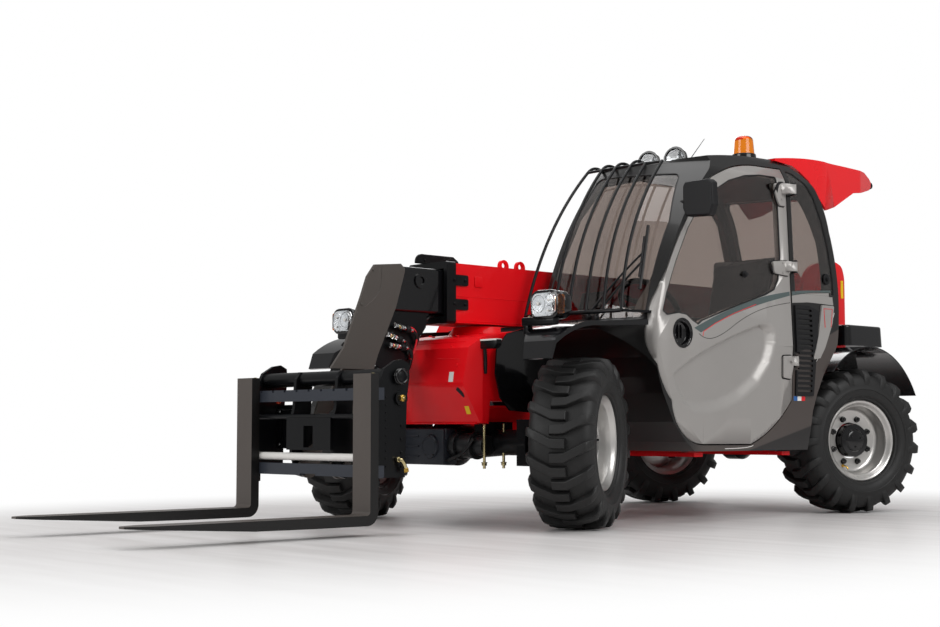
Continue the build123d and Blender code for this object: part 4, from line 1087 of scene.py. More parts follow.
# ---------------------------------------------------------------- cab
@dataclass
class Cab:
    """What is bolted and stuck to the cab: seals, stripes, wipers, lamps, aerial and beacon."""

    frame: dict
    panes: tuple[tuple[str, Place], ...] = (
        ("windscreen", (0, -1, 0.1)), ("quarter_window", LEFT), ("rear_window", BACK),
        ("right_window", RIGHT),
    )
    knob: Spot = (799, 1283)
    bands: tuple[tuple[Finish, tuple[Spot, ...], tuple[Spot, ...]], ...] = (
        (STRIPE_GREEN, ((472, 1197), (560, 1206), (632, 1211), (829, 1223)),
         ((472, 1176), (560, 1190), (640, 1198), (828, 1211))),
        (SILVER, ((472, 1174), (560, 1188), (640, 1196), (842, 1209)),
         ((472, 1136), (560, 1142), (640, 1146), (850, 1142))),
    )
    # Pale line along the sill's rounded edge and up beside the blade: a painted highlight.
    sill_edge_highlight: tuple[Spot, ...] = (
        (-365, 371), (-300, 366), (94, 364), (180, 394), (310, 482), (462, 628), (655, 806),
        (712, 868), (800, 985), (856, 1100),
    )
    flags: tuple[Finish, ...] = (BLUE, PALE, STRIPE_RED)
    flag_start: float = 478.0
    flag_step: float = 34.0
    lamps: tuple[Place, ...] = ((270, -30, 1903), (492, -72, 1892))
    lamp_turns: tuple[tuple[Finish, bool, tuple[Spot, ...]], ...] = (
        (GLOSS_BLACK, False, ((0, -52), (22, -48), (40, -34), (49, -10), (50, 3), (44, 3),
                              (41, 0), (36, -26), (0, -40))),
        (CHROME, False, ((0, -26), (14, -24), (30, -14), (39, -2), (41, 0), (47, 1), (48, 4),
                         (46, 6), (40, 5), (39, 1), (38, 1), (29, -11), (13, -21), (0, -23))),
        (GLOSS_BLACK, True, ((38, 1), (41, 1), (49, 1), (50, 6), (48, 9), (42, 9), (40, 6))),
        (CLEAR, False, ((0, 8), (20, 7.4), (41, 4), (41, 2), (20, 5), (0, 5.6))),
    )
    lamp_scale: float = 1.3
    aerial_foot: Spot = (545, -10)
    beacon: Place = (650, 310, 1934)
    beacon_ring: tuple[Spot, ...] = ((57, -3), (63, -3), (64, 2), (61, 6), (56, 5))
    tail_start: float = 960.0
    tail_rise: float = 0.07
    tail_curl: float = 0.00012
    tail_stretch: float = 0.62

    def seals(self) -> None:
        """Rubber seals round the fixed panes."""
        seal = Workpiece("cab_glass_seals")
        for name, outward in self.panes:
            seal.add(sealed(self.frame, name, outward), HOSE_RUBBER)
        foot, = Skin(self.frame, ("quarter_window",), View.SIDE, 1).spots([self.knob])
        seal.rods(GRAINED, LEFT, (30, 8, 2, foot), (13, 20, 3, foot))
        seal.fit("chassis", "trim_black")

    def stripes(self) -> None:
        """The stripe carried on behind the door, the blade's red outline, and a pale line along the
        sill's rounded edge that is a painted highlight.
        """
        skin = Skin(self.frame, ("cab_frame",), View.SIDE, 1)
        film = Workpiece("cab_stripes")
        for finish, upper, lower in self.bands:
            film.add(skin.band(upper, lower, columns=20), finish)
        # painted highlight: a pale bead along the sill's rounded edge
        film.add(skin.line(self.sill_edge_highlight, 2.2, smooth=True, lift=-0.4), PALE)
        for step, finish in enumerate(self.flags):
            y = self.flag_start + step * self.flag_step
            film.add(skin.pad(oblong(y, 614, y + self.flag_step, 638), 0.8, sink=1), finish)
        blade = Skin(self.frame, ("cab_blade",), View.SIDE, 1)
        film.add(blade.line(((750, 1015), (747, 1118), (826, 1118), (806, 1020)), 2.6), STRIPE_RED)
        film.fit("chassis", "silver_paint")

    def wipers(self) -> None:
        """A pantograph wiper: two arms from the foot of the screen to a blade by the pillar."""
        skin = Skin(self.frame, ("windscreen", "cab_frame"), View.FRONT, -1)
        wiper = Workpiece("wiper")
        for foot, head in (((470, 1020), (700, 1330)), ((520, 1012), (716, 1290))):
            middle = ((foot[0] + head[0]) / 2, (foot[1] + head[1]) / 2)
            route = [tuple(skin.at(*spot, lift))
                     for spot, lift in ((foot, 18), (middle, 36), (head, 24))]
            wiper.add(pipe(route, 5.5), GRAINED)
            wiper.rods(GRAINED, FORWARD, (14, 26, 3, *skin.spots([foot])))
        blade = skin.spots(((672, 1480), (706, 1330), (730, 1150)), 14)
        wiper.add(pipe(blade, 6.5), GRAINED)
        wiper.add(pipe([(x, y + 9, z) for x, y, z in blade], 4), HOSE_RUBBER)
        wiper.add(pipe(skin.spots(((684, 1420), (708, 1310), (722, 1210)), 26), 5), GRAINED)
        wiper.fit("chassis", "trim_black")

    def roof(self) -> None:
        """The work lamps, the aerial, the lamps' cables, the beacon's ring and the cowl."""
        lights = Workpiece("work_lamp_faces")
        for x, y, z in self.lamps:
            face = stand((x, y, z), (0.3, -1, 0)) @ Matrix.Scale(self.lamp_scale, 4)
            for finish, ring, profile in self.lamp_turns:
                lights.add(lathe(profile, steps=40, ring=ring), finish, face)
            lights.add(block((18, 30, 70), 4, (x, y + 34, z - 62)), BLACK)
            lights.add(rod(7, 16, edge=2, sides=16), PALE, face @ Matrix.Translation((0, 0, -22)))
        lights.fit("chassis", "trim_black", "work_lights")
        top = Skin(self.frame, ("cab_frame", "roof_cowl"), View.PLAN, 1)
        aerial = Workpiece("roof_fittings")
        x, y, z = top.at(*self.aerial_foot)
        aerial.rods(GRAINED, UP, (20, 14, 4, 28, 13, (x, y, z - 2)))
        aerial.rods(GRAINED, (0.5, 0.3, 0.8), (2.4, 125, 0.5, 10, 1.4, (x, y, z + 10)))
        for x, y, z in self.lamps:
            aerial.add(pipe(((x, y + 40, z), (x, y + 74, z - 14), (x + 20, y + 84, z - 42),
                             *top.spots([(x + 34, y + 120)], -2)), 4), HOSE_RUBBER)
        aerial.bolts(top.spots([(x, 60) for x in (170, 320, 500, 640)], -0.5), UP, 8, GRAINED)
        aerial.add(lathe(self.beacon_ring, steps=40), GRAINED, stand(self.beacon))
        aerial.add(block((330, 60, 46), 20, (485, 1530, 1902)), GRAINED)
        aerial.fit("chassis", "trim_black")
        cowl = Workpiece("cowl_skin")
        cowl.add(self.cowl(), RED_SKIN)
        cowl.fit("chassis", "red_skin", "roof_cowl")

    def cowl(self) -> bmesh.types.BMesh:
        """A copy of the CAD cowl whose tail is drawn out and swept up to a thin end."""
        form = cad_copy(self.frame, "roof_cowl")
        for vert in form.verts:
            past = max(0.0, vert.co.y - self.tail_start)
            vert.co.z += self.tail_rise * past + self.tail_curl * past * past
            vert.co.y += self.tail_stretch * past
        bmesh.ops.recalc_face_normals(form, faces=form.faces[:])
        return form

    def inside(self) -> None:
        """Dash screen, pedals, lever and trim seen through the glass."""
        trim = Workpiece("cab_fit_out")
        trim.add(block((150, 20, 96), 6), GRAINED, turned((300, -520, 1120), -0.3))
        trim.add(block((130, 4, 78), 1), GLOSS_BLACK, turned((300, -508, 1118), -0.3))
        for x in (400, 560, 640):
            trim.add(pipe(((x, -520, 820), (x, -470, 760), (x, -400, 700)), 7), GRAINED)
            trim.add(block((70, 14, 90), 5), HOSE_RUBBER, turned((x, -395, 690), 0.5))
        trim.add(pipe(((230, 120, 900), (230, 90, 1000), (240, 60, 1080)), 9), GRAINED)
        trim.rods(GRAINED, (0, -0.2, 1), (22, 70, 12, (240, 60, 1070)))
        trim.add(block((90, 420, 250), 20, (225, 180, 780)), GRAINED)
        trim.fit("chassis", "trim_black")

    def build(self) -> None:
        """Build all of it."""
        self.seals()
        self.stripes()
        self.wipers()
        self.roof()
        self.inside()


@dataclass
class Seat:
    """The driver's seat: two blown-up cloth pads on a moulded shell."""

    cap_mm: float = 16.0
    voxel_mm: float = 6.0
    pressure: float = 4.0
    frames: int = 20
    back_lean: float = -13.0
    pads: tuple[tuple[str, Place, Place, float], ...] = (
        ("seat_cushion", (520, 170, 925), (400, 410, 86), 2.0),
        ("seat_back", (520, 418, 1190), (390, 84, 410), back_lean),
    )

    def blow_up(self, piece: bpy.types.Object) -> None:
        """Inflate a pad with a cloth simulation, cap how far it moves, and smooth it.

        Args:
            piece: the pad, a closed mesh.
        """
        scene = bpy.context.scene
        remesh = piece.modifiers.new("voxels", "REMESH")
        remesh.mode = "VOXEL"
        remesh.voxel_size = self.voxel_mm * MM
        self.apply(piece)
        start = [v.co.copy() for v in piece.data.vertices]
        cloth = piece.modifiers.new("cloth", "CLOTH")
        cloth.settings.use_pressure = True
        cloth.settings.uniform_pressure_force = self.pressure
        cloth.settings.effector_weights.gravity = 0.0
        for frame_number in range(1, self.frames + 1):
            scene.frame_set(frame_number)
        self.apply(piece)
        for vert, rest in zip(piece.data.vertices, start):
            move = vert.co - rest
            if move.length > self.cap_mm * MM:
                vert.co = rest + move.normalized() * self.cap_mm * MM
        piece.data.update()
        scene.frame_set(1)
        subdivide = piece.modifiers.new("smooth", "SUBSURF")
        subdivide.levels = subdivide.render_levels = 1
        self.apply(piece)

    def apply(self, piece: bpy.types.Object) -> None:
        """Replace the piece's mesh with what its modifiers give, and drop them."""
        bpy.context.view_layer.update()
        graph = bpy.context.evaluated_depsgraph_get()
        made = bpy.data.meshes.new_from_object(piece.evaluated_get(graph))
        piece.modifiers.clear()
        piece.data = made

    def build(self) -> None:
        """Fit the two pads, the shell under them and the arm rests."""
        replaced = ["seat"]
        for name, centre, size, lean in self.pads:
            pad = Workpiece(name)
            pad.add(block(size, edge=26), SEAT_CLOTH, turned(centre, math.radians(lean)))
            piece = pad.fit("chassis", "seat_cloth", *replaced)
            replaced = []
            self.blow_up(piece)
            for face in piece.data.polygons:
                face.use_smooth = True
            if not piece.data.materials:
                piece.data.materials.append(SEAT_CLOTH.material())
        shell = Workpiece("seat_shell")
        shell.blocks(GRAINED, ((420, 440, 40), 14, (520, 180, 862)),
                     ((330, 330, 190), 16, (520, 200, 745)))
        shell.add(block((400, 30, 420), 12), GRAINED,
                  turned((520, 482, 1190), math.radians(self.back_lean)))
        for x in (330, 710):
            shell.blocks(GRAINED, ((40, 250, 46), 12, (x, 190, 1050)),
                         ((24, 40, 150), 8, (x, 290, 960)))
        shell.fit("chassis", "trim_black")


# ---------------------------------------------------------------- front of the chassis
@dataclass
class Front:
    """Head lamps, and what is bolted to the apron, the fenders and the front axle."""

    frame: dict
    lamp_at: Place = (750.0, -1330.0, 1035.0)
    lamp_half: Spot = (90.0, 67.5)
    lamp_plates: tuple[tuple, ...] = (
        (-2, 74, 34, 46, 20, GLOSS_BLACK), (0, 30, 6, 46, 3, GLOSS_BLACK),
        (-15, 10, 1, 32, 6, CHROME), (-13, -6, 0, 34, 3, CLEAR),
    )
    bulbs: tuple[Place, ...] = ((-28, 4, 42), (38, 18, 26), (38, -30, 24))
    # Outline of a slot in the apron; the black pad laid on it is painted shade for the dark inside
    # the opening.
    slot: tuple[Spot, ...] = ((238, 652), (262, 628), (278, 612), (286, 622), (282, 640),
                              (256, 666))
    fender_bolts: tuple[Spot, ...] = ((430, -850), (640, -850), (820, -850), (820, -1180))

    def lamp(self, piece: Workpiece, flank: int) -> None:
        """One head lamp: shell, bezel, reflector with bulbs, clear lens and amber side lens.

        Args:
            piece: what it is added to.
            flank: 1 on the left, -1 on the right.
        """
        x, y, z = self.lamp_at
        place = Matrix.Translation((flank * x, y, z))
        for margin, thickness, start, corner, edge, finish in self.lamp_plates:
            a, b = (half + margin for half in self.lamp_half)
            piece.add(plate(oblong(-a, -b, a, b), thickness, View.FRONT, start, corner=corner,
                            edge=edge), finish, place)
        for x, z, radius in self.bulbs:
            bowl = ((radius, -2), (radius * 0.96, 3), (radius * 0.7, -6), (radius * 0.3, -13),
                    (0, -15), (0, -16))
            piece.add(lathe(bowl, steps=36, ring=False), CHROME,
                      place @ stand((flank * x, 2, z), FORWARD))
            piece.add(rod(radius * 0.2, 14, edge=2, sides=14), PALE,
                      place @ stand((flank * x, 4, z), FORWARD))
        amber = plate(((4, -46), (48, -44), (48, 44), (4, 46)), flank * 5, View.SIDE, flank * 87,
                      corner=10, edge=2)
        piece.add(amber, AMBER, place)
        arm_x = flank * 700
        piece.blocks(BLACK, ((210, 42, 42), 8, (arm_x, -1300, 962)),
                     ((30, 34, 60), 5, (flank * 620, -1300, 935)),
                     ((60, 24, 40), 6, (flank * 750, -1290, 985)))
        piece.bolts([(arm_x + dx, -1300, 983) for dx in (-70, 10)], UP, 7, ZINC)

    def apron(self) -> None:
        """Plates, a black pad of painted shade in the slot, seam and bolts on the apron, and the
        handle on the fender's root.
        """
        skin = Skin(self.frame, ("front_apron",), View.FRONT, -1)
        trim = Workpiece("apron_trim")
        trim.add(skin.pad(oblong(196, 690, 228, 738), 1.2, sink=1), PALE)
        trim.add(skin.pad(oblong(262, 536, 292, 574), 1.2, sink=1), YELLOW)
        # painted shade: a black pad stands for the dark inside the slot
        trim.add(skin.pad(self.slot, 1.0, corner=6, sink=1), GRAINED)
        for seam in (((-296, 806), (100, 806), (262, 800)), ((-250, 884), (250, 884))):
            trim.add(skin.line(seam, 1.6), RED)
        trim.add(block((600, 26, 8), 2, (BOOM_X + 80, -1334, 492)), RED)
        trim.bolts(skin.spots(((-245, 560), (246, 770), (-200, 860), (180, 862)), -0.5), FORWARD,
                   7, RED)
        top = Skin(self.frame, ("front_apron",), View.PLAN, 1)
        trim.bolts(top.spots(circle(BOOM_X, -967, 255, (-2.4, -1.9, -1.2, -0.7)), -0.5), UP, 8,
                   RED)
        trim.fit("chassis", "red_paint")

        handle = Workpiece("apron_handle")
        grip = ((330, 846), (430, 846), (448, 864), (448, 890), (330, 890))
        handle.add(plate(grip, 34, View.FRONT, -1338, corner=6, edge=4), BLACK)
        handle.add(plate(oblong(334, 884, 446, 892), 38, View.FRONT, -1340, edge=1), PALE)
        handle.add(pipe(((352, -1325, 850), (356, -1322, 790), (340, -1310, 730)), 9), BLACK)
        handle.fit("chassis", "dark_paint")

    def axle(self) -> None:
        """The front gearbox block with its round cover, studs, brake line and zinc bolts."""
        box = Workpiece("front_gearbox")
        box.blocks(BLUE_CASTING, ((316, 96, 178), 12, (-96, -1284, 378)),
                   ((330, 60, 60), 10, (-96, -1290, 440)),
                   *(((120, 8, 7), 2, (-180, -1334, z)) for z in (330, 380, 430)))
        cover = ((0, 16), (44, 15), (50, 10), (56, 9), (60, 0), (60, -4), (0, -4))
        box.add(lathe(cover, steps=40, ring=False), BLUE_CASTING,
                stand((-30, -1332, 380), FORWARD))
        box.bolts([(x, -1341, z) for x, z in circle(-30, 380, 50, (0.4, 1.6, 2.8, 4.1, 5.3))],
                  FORWARD, 5, CASTING)
        shaft = ((62, 72, 46), (108, 60, 90), (198, 68, 18), (216, 50, 70))
        box.rods(CASTING, LEFT, *((radius, length, 4, (x, -1240, 385))
                                  for x, radius, length in shaft))
        box.bolts([(108, y, z) for y, z in circle(-1240, 385, 62, (2.2, 2.9, 3.6, 4.3))], LEFT, 6,
                  CASTING)
        box.add(pipe(((240, -1296, 420), (200, -1312, 350), (90, -1310, 320), (20, -1300, 300)),
                     8), HOSE_RUBBER)
        for x, y in ((322, -1300), (330, -1180)):
            box.rods(ZINC, UP, (7, 214, 1, 16, (x, y, 276)), (15, 5, 1, (x, y, 302)),
                     (13, 12, 1.5, 6, (x, y, 290)))
        box.fit("chassis", "cast")

    def build(self) -> None:
        """Fit the lamps in place of their plain CAD node, then the rest."""
        lamps = Workpiece("head_lamps")
        for flank in FLANKS.values():
            self.lamp(lamps, flank)
        lamps.fit("chassis", "dark_paint", "headlights")
        self.apron()
        self.axle()
        bolts = Workpiece("fender_bolts")
        for side, sign in FLANKS.items():
            skin = Skin(self.frame, (f"front_fender_{side}",), View.PLAN, 1)
            bolts.bolts(skin.spots([(sign * x, y) for x, y in self.fender_bolts], -0.5), UP, 8,
                        GRAINED)
        bolts.fit("chassis", "body_black")


# ---------------------------------------------------------------- boom and head
@dataclass
class Boom:
    """Trim of the outer boom, and of the head with its hoses and couplers."""

    flanks: tuple[tuple[float, int], ...] = ((65.0, 1), (-205.0, -1))
    lug_x: float = -120.0
    plate_face: float = 57.0
    bracket_face: float = 32.0
    coupler_turns: tuple[tuple, ...] = (
        (14, 22, 6, CHROME), (11, 14, 24, ZINC), (15, 20, 6, CHROME), (11, 16, 24, CHROME),
        (16, 24, 24, GRAINED), (9, 22, 20, CHROME),
    )

    def outer(self) -> None:
        """Flank pads, seam beads and collar bolts."""
        trim, collar = Workpiece("boom_trim"), Workpiece("collar_bolts")
        for x, sign in self.flanks:
            trim.add(plate(oblong(-1128, 1172, -1078, 1226), sign * 7, View.SIDE, x, corner=5,
                           edge=2), RED)
            for end, z, radius in ((1240, 1122, 1.8), (1560, 1002, 2.2)):
                trim.add(pipe(((x, -1250, z), (x, end, z)), radius, smooth=False, rounds=1), RED)
            collar.bolts([(x + sign * 10, y, z) for y in (-1268, -1198) for z in (1200, 1080)],
                         (sign, 0, 0), 8, BLACK)
            collar.bolts([(self.lug_x + sign * 6, y, 1310) for y in (-1300, -1130)],
                         (sign, 0, 0), 7, BLACK)
        trim.fit("boom", "red_paint")
        collar.fit("boom", "dark_paint")

    def head(self) -> None:
        """Bolts and weld on the head's plates."""
        head = Workpiece("head_trim")
        face = self.plate_face
        head.bolts([(face, -1770, 1217), (face, -1840, 1050)], LEFT, 6, TAUPE)
        head.bolts([(-197, -1520, 1180), (-197, -1560, 1080)], RIGHT, 6, TAUPE)
        weld = ((face, -1722, 1232), (face, -1716, 1150), (face, -1752, 1082),
                (face, -1824, 1036))
        head.add(pipe(weld, 1.8, rounds=1), TAUPE)
        head.fit("boom_section", "steel_grey")

    def couplers(self) -> None:
        """Quick couplers and hoses behind the near head plate, and the hoses out of the boom."""
        hoses = Workpiece("head_couplers")
        face = self.bracket_face
        for y, z, slope in ((-1690, 918, -0.30), (-1672, 866, -0.12), (-1640, 960, -0.2)):
            run = (0, 1, slope)
            end = Vector((face + 26, y, z))
            for radius, length, sides, finish in self.coupler_turns:
                hoses.rods(finish, run, (radius, length, 1.5, sides, tuple(end)))
                end = end + Vector(run).normalized() * length
            hoses.add(pipe((tuple(end), tuple(end + Vector((0, 26, -14))),
                            (face + 14, end.y + 30, end.z - 60), (face - 34, -1500, z - 110)), 8),
                      HOSE_RUBBER)
            hoses.rods(CASTING, LEFT, (8, 40, 1, (face - 4, y + 30, z)))
        pilot = ((20, -1600, 948), (24, -1540, 960), (24, -1496, 930), (20, -1500, 860),
                 (16, -1530, 800))
        hoses.add(pipe([(face + out, y, z) for out, y, z in pilot], 5), STRIPE_RED)
        hoses.add(plate(oblong(-1700, 976, -1650, 1004), 1.5, View.SIDE, face, corner=2), PALE)
        for x in (-10, -40, -100, -130):
            hoses.add(pipe(((x, -1416, 985), (x, -1380, 1000), (x, -1360, 1020),
                            (x, -1330, 1022)), 8), HOSE_RUBBER)
        hoses.fit("boom_section", "dark_paint")

    def build(self) -> None:
        """Build all of it."""
        self.outer()
        self.head()
        self.couplers()


@dataclass
class Carriage:
    """Fittings of the coupler and the fork carriage."""

    flanks: tuple[tuple[float, int], ...] = ((424.0, 1), (-554.0, -1))
    windows: tuple[Spot, ...] = ((-522, -322), (192, 392))
    forks: Spot = (390, -520)

    def side(self, trim: Workpiece, x: float, sign: int) -> None:
        """Lock boss, rings, rivets, bolts and elbow of one side plate.

        Args:
            trim: what they are added to.
            x: the plate's outer face.
            sign: 1 on the left, -1 on the right.
        """
        out = (sign, 0, 0)
        trim.rods(BRASS, out, (15, 8, 2, (x + sign * 5, -1900, 603)))
        trim.rods(ZINC, out, (6, 12, 1, 6, (x + sign * 5, -1900, 603)),
                  (13, 16, 1.5, 6, (x - sign * 8, -1920, 330)))
        ring = circle(30, 0, 7, [math.tau * step / 12 for step in range(12)])
        for height in (-2, 11):
            trim.add(lathe(ring, steps=36), GLOSS_BLACK,
                     stand((x + sign * height, -1908, 700), out))
        inner = x - sign * 12
        trim.rods(BLACK, out, (24, 26, 3, (inner, -1908, 700)))
        for y, gap, count, radius in ((-1980, 34, 10, 4.5), (-1890, 60, 4, 7)):
            trim.bolts([(inner, y, 300 + gap * step) for step in range(count)], out, radius,
                       BLACK)
        elbow = ((-10, -1920, 330), (14, -1920, 330), (18, -1904, 322), (18, -1890, 290))
        trim.add(pipe([(x + sign * dx, y, z) for dx, y, z in elbow], 9), ZINC)
        trim.rods(BRASS, (0, 0.2, -1), (12, 18, 1.5, 6, (x + sign * 18, -1890, 292)))

    def build(self) -> None:
        """Cross rod, both sides, guards of the windows, and the forks' latches."""
        rail = Workpiece("carriage_rod")
        rail.rods(PALE, LEFT, (18, 904, 3, (-520, -2036, 337)))
        rail.rods(CHROME, LEFT, (8, 40, 2, 28, 16, (-560, -2036, 337)))
        rail.blocks(BLACK, *(((14, 30, 60), 3, (x, -2036, 330)) for x in (-500, 380)))
        rail.fit("carriage", "chrome_rod")

        trim = Workpiece("coupler_trim")
        for x, sign in self.flanks:
            self.side(trim, x, sign)
        for right, left in self.windows:
            middle = (right + left) / 2
            trim.add(block((left - right, 6, 10), 2, (middle, -1909, 560)), CHROME)
            trim.blocks(BLACK, *(((8, 6, 180), 2, (x, -1909, 470))
                                 for x in (right + 40, middle, left - 40)))
            trim.bolts([(x, -1906, z) for z in (550, 390) for x in (right + 20, left - 20)],
                       FORWARD, 7, CHROME)
        trim.fit("carriage", "dark_paint")

        latches = Workpiece("fork_latches")
        for x in self.forks:
            latches.blocks(BLACK, ((70, 24, 26), 4, (x, -2040, 672)),
                           ((60, 14, 40), 4, (x, -2049, 640)), ((90, 16, 44), 4, (x, -2040, 236)))
            latches.rods(BLACK, UP, (9, 30, 2, (x, -2040, 680)))
            latches.add(pipe(((x - 18, -2040, 708), (x, -2040, 714), (x + 18, -2040, 708)), 4),
                        ZINC)
        latches.fit("carriage", "dark_paint")


# ---------------------------------------------------------------- rear and engine side
@dataclass
class EngineSide:
    """Vents, latches and lamps on the engine hood, the tray and the tail."""

    frame: dict
    slats: int = 9
    slat_gap: float = 26.0
    tail_y: float = 1790.0

    def hood(self) -> None:
        """Louvred vents and the latches between them."""
        skin = Skin(self.frame, ("engine_hood",), View.SIDE, -1)
        vents = Workpiece("hood_vents")
        for front, rear in ((-480, -160), (120, 560)):
            vents.add(skin.pad(oblong(front, 690, rear, 940), 4, corner=14, edge=2), GRAINED)
            for step in range(self.slats):
                middle = skin.at((front + rear) / 2, 712 + step * self.slat_gap, 6)
                vents.add(block((10, rear - front - 36, 14), 3), GRAINED, turned(middle, 0.5, "Y"))
        for latch in skin.spots(((-60, 670), (20, 670)), 3):
            vents.add(block((12, 34, 60), 4, latch), GLOSS_BLACK)
        vents.fit("engine_hood", "trim_black")

    def tail(self) -> None:
        """Tail lamps, tow pin, and the bolts of the tail and the tray."""
        tail = Workpiece("tail_fittings")
        boxes = Skin(self.frame, ("rear_boxes",), View.FRONT, 1)
        for x in (620, -760):
            for corners, thickness, corner, edge, finish in (
                    ((x - 92, 968, x - 4, 1026), 8, 8, 2, RUBY),
                    ((x + 6, 968, x + 92, 1026), 8, 8, 2, AMBER),
                    ((x - 98, 962, x + 98, 1032), 3, 10, 0, GRAINED)):
                tail.add(boxes.pad(oblong(*corners), thickness, corner=corner, edge=edge), finish)
        tail.blocks(BLACK, *(((150, 60, 18), 5, (BOOM_X, self.tail_y - 12, z))
                             for z in (520, 590)))
        tail.rods(ZINC, UP, (16, 130, 3, (BOOM_X, self.tail_y - 6, 490)),
                  (26, 12, 3, (BOOM_X, self.tail_y - 6, 612)))
        tail.bolts([(BOOM_X + dx, self.tail_y, z) for dx in (-300, 300) for z in (540, 820)],
                   BACK, 16, BLACK)
        tail.bolts([(-845, y, 590) for y in (-430, -120, 200, 520)], RIGHT, 8, BLACK)
        tail.fit("chassis", "dark_paint")

    def build(self) -> None:
        """Hood, tail, the cover on the tower and the mirror's glass."""
        self.hood()
        self.tail()
        cover = Workpiece("tower_cover")
        flank = ((1560, 775), (1822, 775), (1838, 900), (1838, 1400), (1812, 1470), (1740, 1496),
                 (1600, 1484), (1560, 1420))
        cover.add(plate(flank, 36, View.SIDE, 214, corner=24, edge=8), RED)
        cover.add(plate(oblong(1790, 1270, 1816, 1380), 1.5, View.SIDE, 250, corner=3), YELLOW)
        cover.fit("chassis", "red_paint")
        mirror = Skin(self.frame, ("mirror_left",), View.FRONT, 1)
        glass = Workpiece("mirror_glass")
        glass.add(mirror.pad(((850, 1530), (990, 1524), (1002, 1562), (1000, 1668), (984, 1678),
                              (852, 1678), (842, 1664), (842, 1562)), 1.5, corner=10), CHROME)
        glass.fit("chassis", "chrome_rod")


# ---------------------------------------------------------------- studio
@dataclass
class Studio:
    """Pale floor, soft lamps and the camera at the height of a crouching person."""

    eye: Place = (5.718, -5.589, 0.475)
    yaw_deg: float = 47.52
    pitch_deg: float = 4.21
    lens_mm: float = 59.0
    sensor_mm: float = 36.0
    floor_size: float = 60.0
    lit_radius: float = 1.7
    white_radius: float = 4.1
    fill: float = 0.36
    boxes: tuple[tuple[str, Place, Place, float, float], ...] = (
        ("key_box", (6.0, 0.5, 4.5), (0.4, 0.6, 0.9), 4.0, 260.0),
        ("front_box", (-1.5, -7.5, 3.6), (0.0, -0.8, 0.7), 4.0, 260.0),
        ("top_box", (0.5, 0.0, 7.0), (0.0, 0.0, 0.8), 5.0, 190.0),
        ("back_box", (-4.5, 5.0, 5.0), (0.0, 0.0, 1.0), 4.0, 170.0),
    )

    def build_camera(self) -> None:
        """Place the camera and make it the scene's."""
        data = bpy.data.cameras.new("camera")
        data.lens = self.lens_mm
        data.sensor_width = self.sensor_mm
        data.clip_end = 200.0
        camera = bpy.data.objects.new("camera", data)
        camera.location = self.eye
        camera.rotation_euler = (math.radians(90 + self.pitch_deg), 0, math.radians(self.yaw_deg))
        bpy.context.scene.collection.objects.link(camera)
        bpy.context.scene.camera = camera

    def build_lamps(self) -> None:
        """Large soft boxes: over the cab side, over the front, overhead and behind."""
        for name, place, target, size, power in self.boxes:
            data = bpy.data.lights.new(name, "AREA")
            data.energy = power
            data.size = size
            lamp = bpy.data.objects.new(name, data)
            lamp.location = place
            aim = Vector(target) - Vector(place)
            lamp.rotation_euler = aim.to_track_quat("-Z", "Y").to_euler()
            bpy.context.scene.collection.objects.link(lamp)

    def seen(self, tree: NodeTree) -> NodeSocket:
        """Mask of the rays that see the surround: camera and transmission rays."""
        path = node(tree, "LightPath").outputs
        return maths(tree, "MAXIMUM", path["Is Camera Ray"], path["Is Transmission Ray"])

    def build_floor(self) -> None:
        """A wide pale floor that keeps its shadow near the machine and is white further out."""
        plane = bmesh.new()
        bmesh.ops.create_grid(plane, x_segments=1, y_segments=1, size=self.floor_size / 2)
        mesh = bpy.data.meshes.new("floor")
        plane.to_mesh(mesh)
        plane.free()
        floor = bpy.data.objects.new("floor", mesh)
        bpy.context.scene.collection.objects.link(floor)
        paint = bpy.data.materials.new("pale_floor")
        paint.use_nodes = True
        tree = paint.node_tree
        tree.nodes.clear()
        place = own_place(tree)
        oval = node(tree, "Mapping", {"Scale": (1.15, 0.8, 1.0)}, {"Vector": place})
        reach = node(tree, "VectorMath", {"operation": "LENGTH"}, {0: oval.outputs["Vector"]})
        fade = node(tree, "MapRange", {"interpolation_type": "SMOOTHSTEP",
                                       "From Min": self.lit_radius,
                                       "From Max": self.white_radius},
                    {"Value": reach.outputs["Value"]})
        streak = node(tree, "Mapping", {"Scale": (0.6, 5.0, 1.0), "Rotation": (0.0, 0.0, 0.83)},
                      {"Vector": place})
        cloud = noise(tree, 1.6, 5.0, streak.outputs["Vector"])
        shader = node(tree, "BsdfPrincipled", {"Roughness": 0.32, "Specular IOR Level": 0.35},
                      {"Base Color": blend(tree, cloud, linear("c4c0be"), linear("eeecec"))})
        white = node(tree, "Emission", {"Color": linear("ffffff"), "Strength": 1.0})
        share = maths(tree, "MULTIPLY", fade.outputs[0], self.seen(tree))
        mix = node(tree, "MixShader",
                   links={0: share, 1: shader.outputs[0], 2: white.outputs[0]})
        node(tree, "OutputMaterial", links={"Surface": mix.outputs[0]})
        mesh.materials.append(paint)

    def build_world(self) -> None:
        """A white surround to the rays that see it, and a soft grey fill elsewhere."""
        world = bpy.data.worlds.new("surround")
        world.use_nodes = True
        tree = world.node_tree
        tree.nodes.clear()
        fill, white = (node(tree, "Background", {"Color": linear("ffffff"), "Strength": strength})
                       for strength in (self.fill, 1.0))
        mix = node(tree, "MixShader",
                   links={0: self.seen(tree), 1: fill.outputs[0], 2: white.outputs[0]})
        node(tree, "OutputWorld", links={"Surface": mix.outputs[0]})
        bpy.context.scene.world = world
        bpy.context.scene.view_settings.view_transform = "Standard"

    def build(self) -> None:
        """Build everything round the machine."""
        self.build_camera()
        self.build_lamps()
        self.build_floor()
        self.build_world()


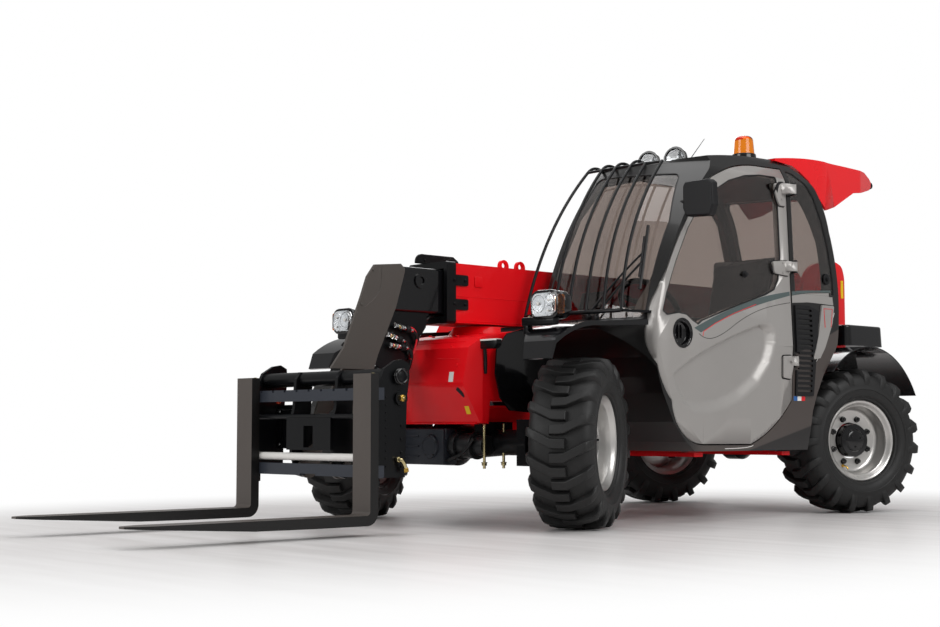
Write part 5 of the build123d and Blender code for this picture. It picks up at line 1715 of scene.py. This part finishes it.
# ---------------------------------------------------------------- dressing of the frame
def dress(frame: dict, names: tuple[str, ...], finish: Finish) -> None:
    """Give CAD nodes one finish all over.

    Args:
        names: the nodes' names.
        finish: the finish they get.
    """
    for name in names:
        mesh = frame["nodes"][name].data
        mesh.materials.clear()
        mesh.materials.append(finish.material())
    log.info("%s on %s", getattr(finish, "name"), ", ".join(names))


COATS = (
    (RED, ("chassis_frame", "engine_hood", "front_apron", "boom_outer", "tower_plate_left",
           "tower_plate_right")),
    (BLACK, ("front_axle", "rear_axle", "coupler", "counterweight", "engine_tray",
             "windscreen_guard", "headlights", "tilt_cylinder_barrel", "boom_collar",
             "lift_cylinder_barrel", "head_bracket", "hood_hinges")),
    (TAUPE, ("boom_head",)),
    (FORK_GREY, ("fork_left", "fork_right")),
    (SLATE, ("carriage",)),
    (SILVER, ("door", "cab_blade")),
    (CAB_SKIN, ("cab_frame",)),
    (GLOSS_BLACK, ("front_fender_left", "front_fender_right", "boom_inner", "rear_boxes",
                   "rear_fenders", "beacon_base")),
    (GRAINED, ("dashboard", "steering_wheel", "mirror_left", "work_lights", "cab_louvre")),
    (RED_SKIN, ("roof_cowl",)),
    (TINTED, ("windscreen", "quarter_window", "rear_window", "right_window", "door_glass")),
    (AMBER, ("beacon_lens",)),
    (SEAT_CLOTH, ("seat",)),
    (CASTING, ("engine_block",)),
    (ZINC, ("lock_pin",)),
    (CHROME, ("lift_cylinder_rod", "tilt_cylinder_rod")),
)


def main() -> None:
    """Load the frame, find the mid-wheelbase line, dress the nodes and build every sub-assembly in
    order.
    """
    logging.basicConfig(level=logging.INFO, format="%(name)s: %(message)s")
    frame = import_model()
    steer = {joint["name"]: joint["pos_m"][1] for joint in frame["joints"] if "pos_m" in joint}
    Workpiece.mid_y = (steer["front_left_steer"] + steer["rear_left_steer"]) / 2
    Studio().build()
    for finish, names in COATS:
        dress(frame, names, finish)
    corners = [f"{end}_{side}" for end in ENDS for side in FLANKS]
    dress(frame, tuple(f"knuckle_{c}" for c in corners), CASTING)
    dress(frame, tuple(f"rim_{c}" for c in corners), RIM_SILVER)
    dress(frame, tuple(f"tyre_{c}" for c in corners), TYRE_RUBBER)
    Wheels(frame).build()
    Door(frame).build()
    Cab(frame).build()
    Seat().build()
    Front(frame).build()
    Boom().build()
    Carriage().build()
    EngineSide(frame).build()


if __name__ == "__main__":
    main()
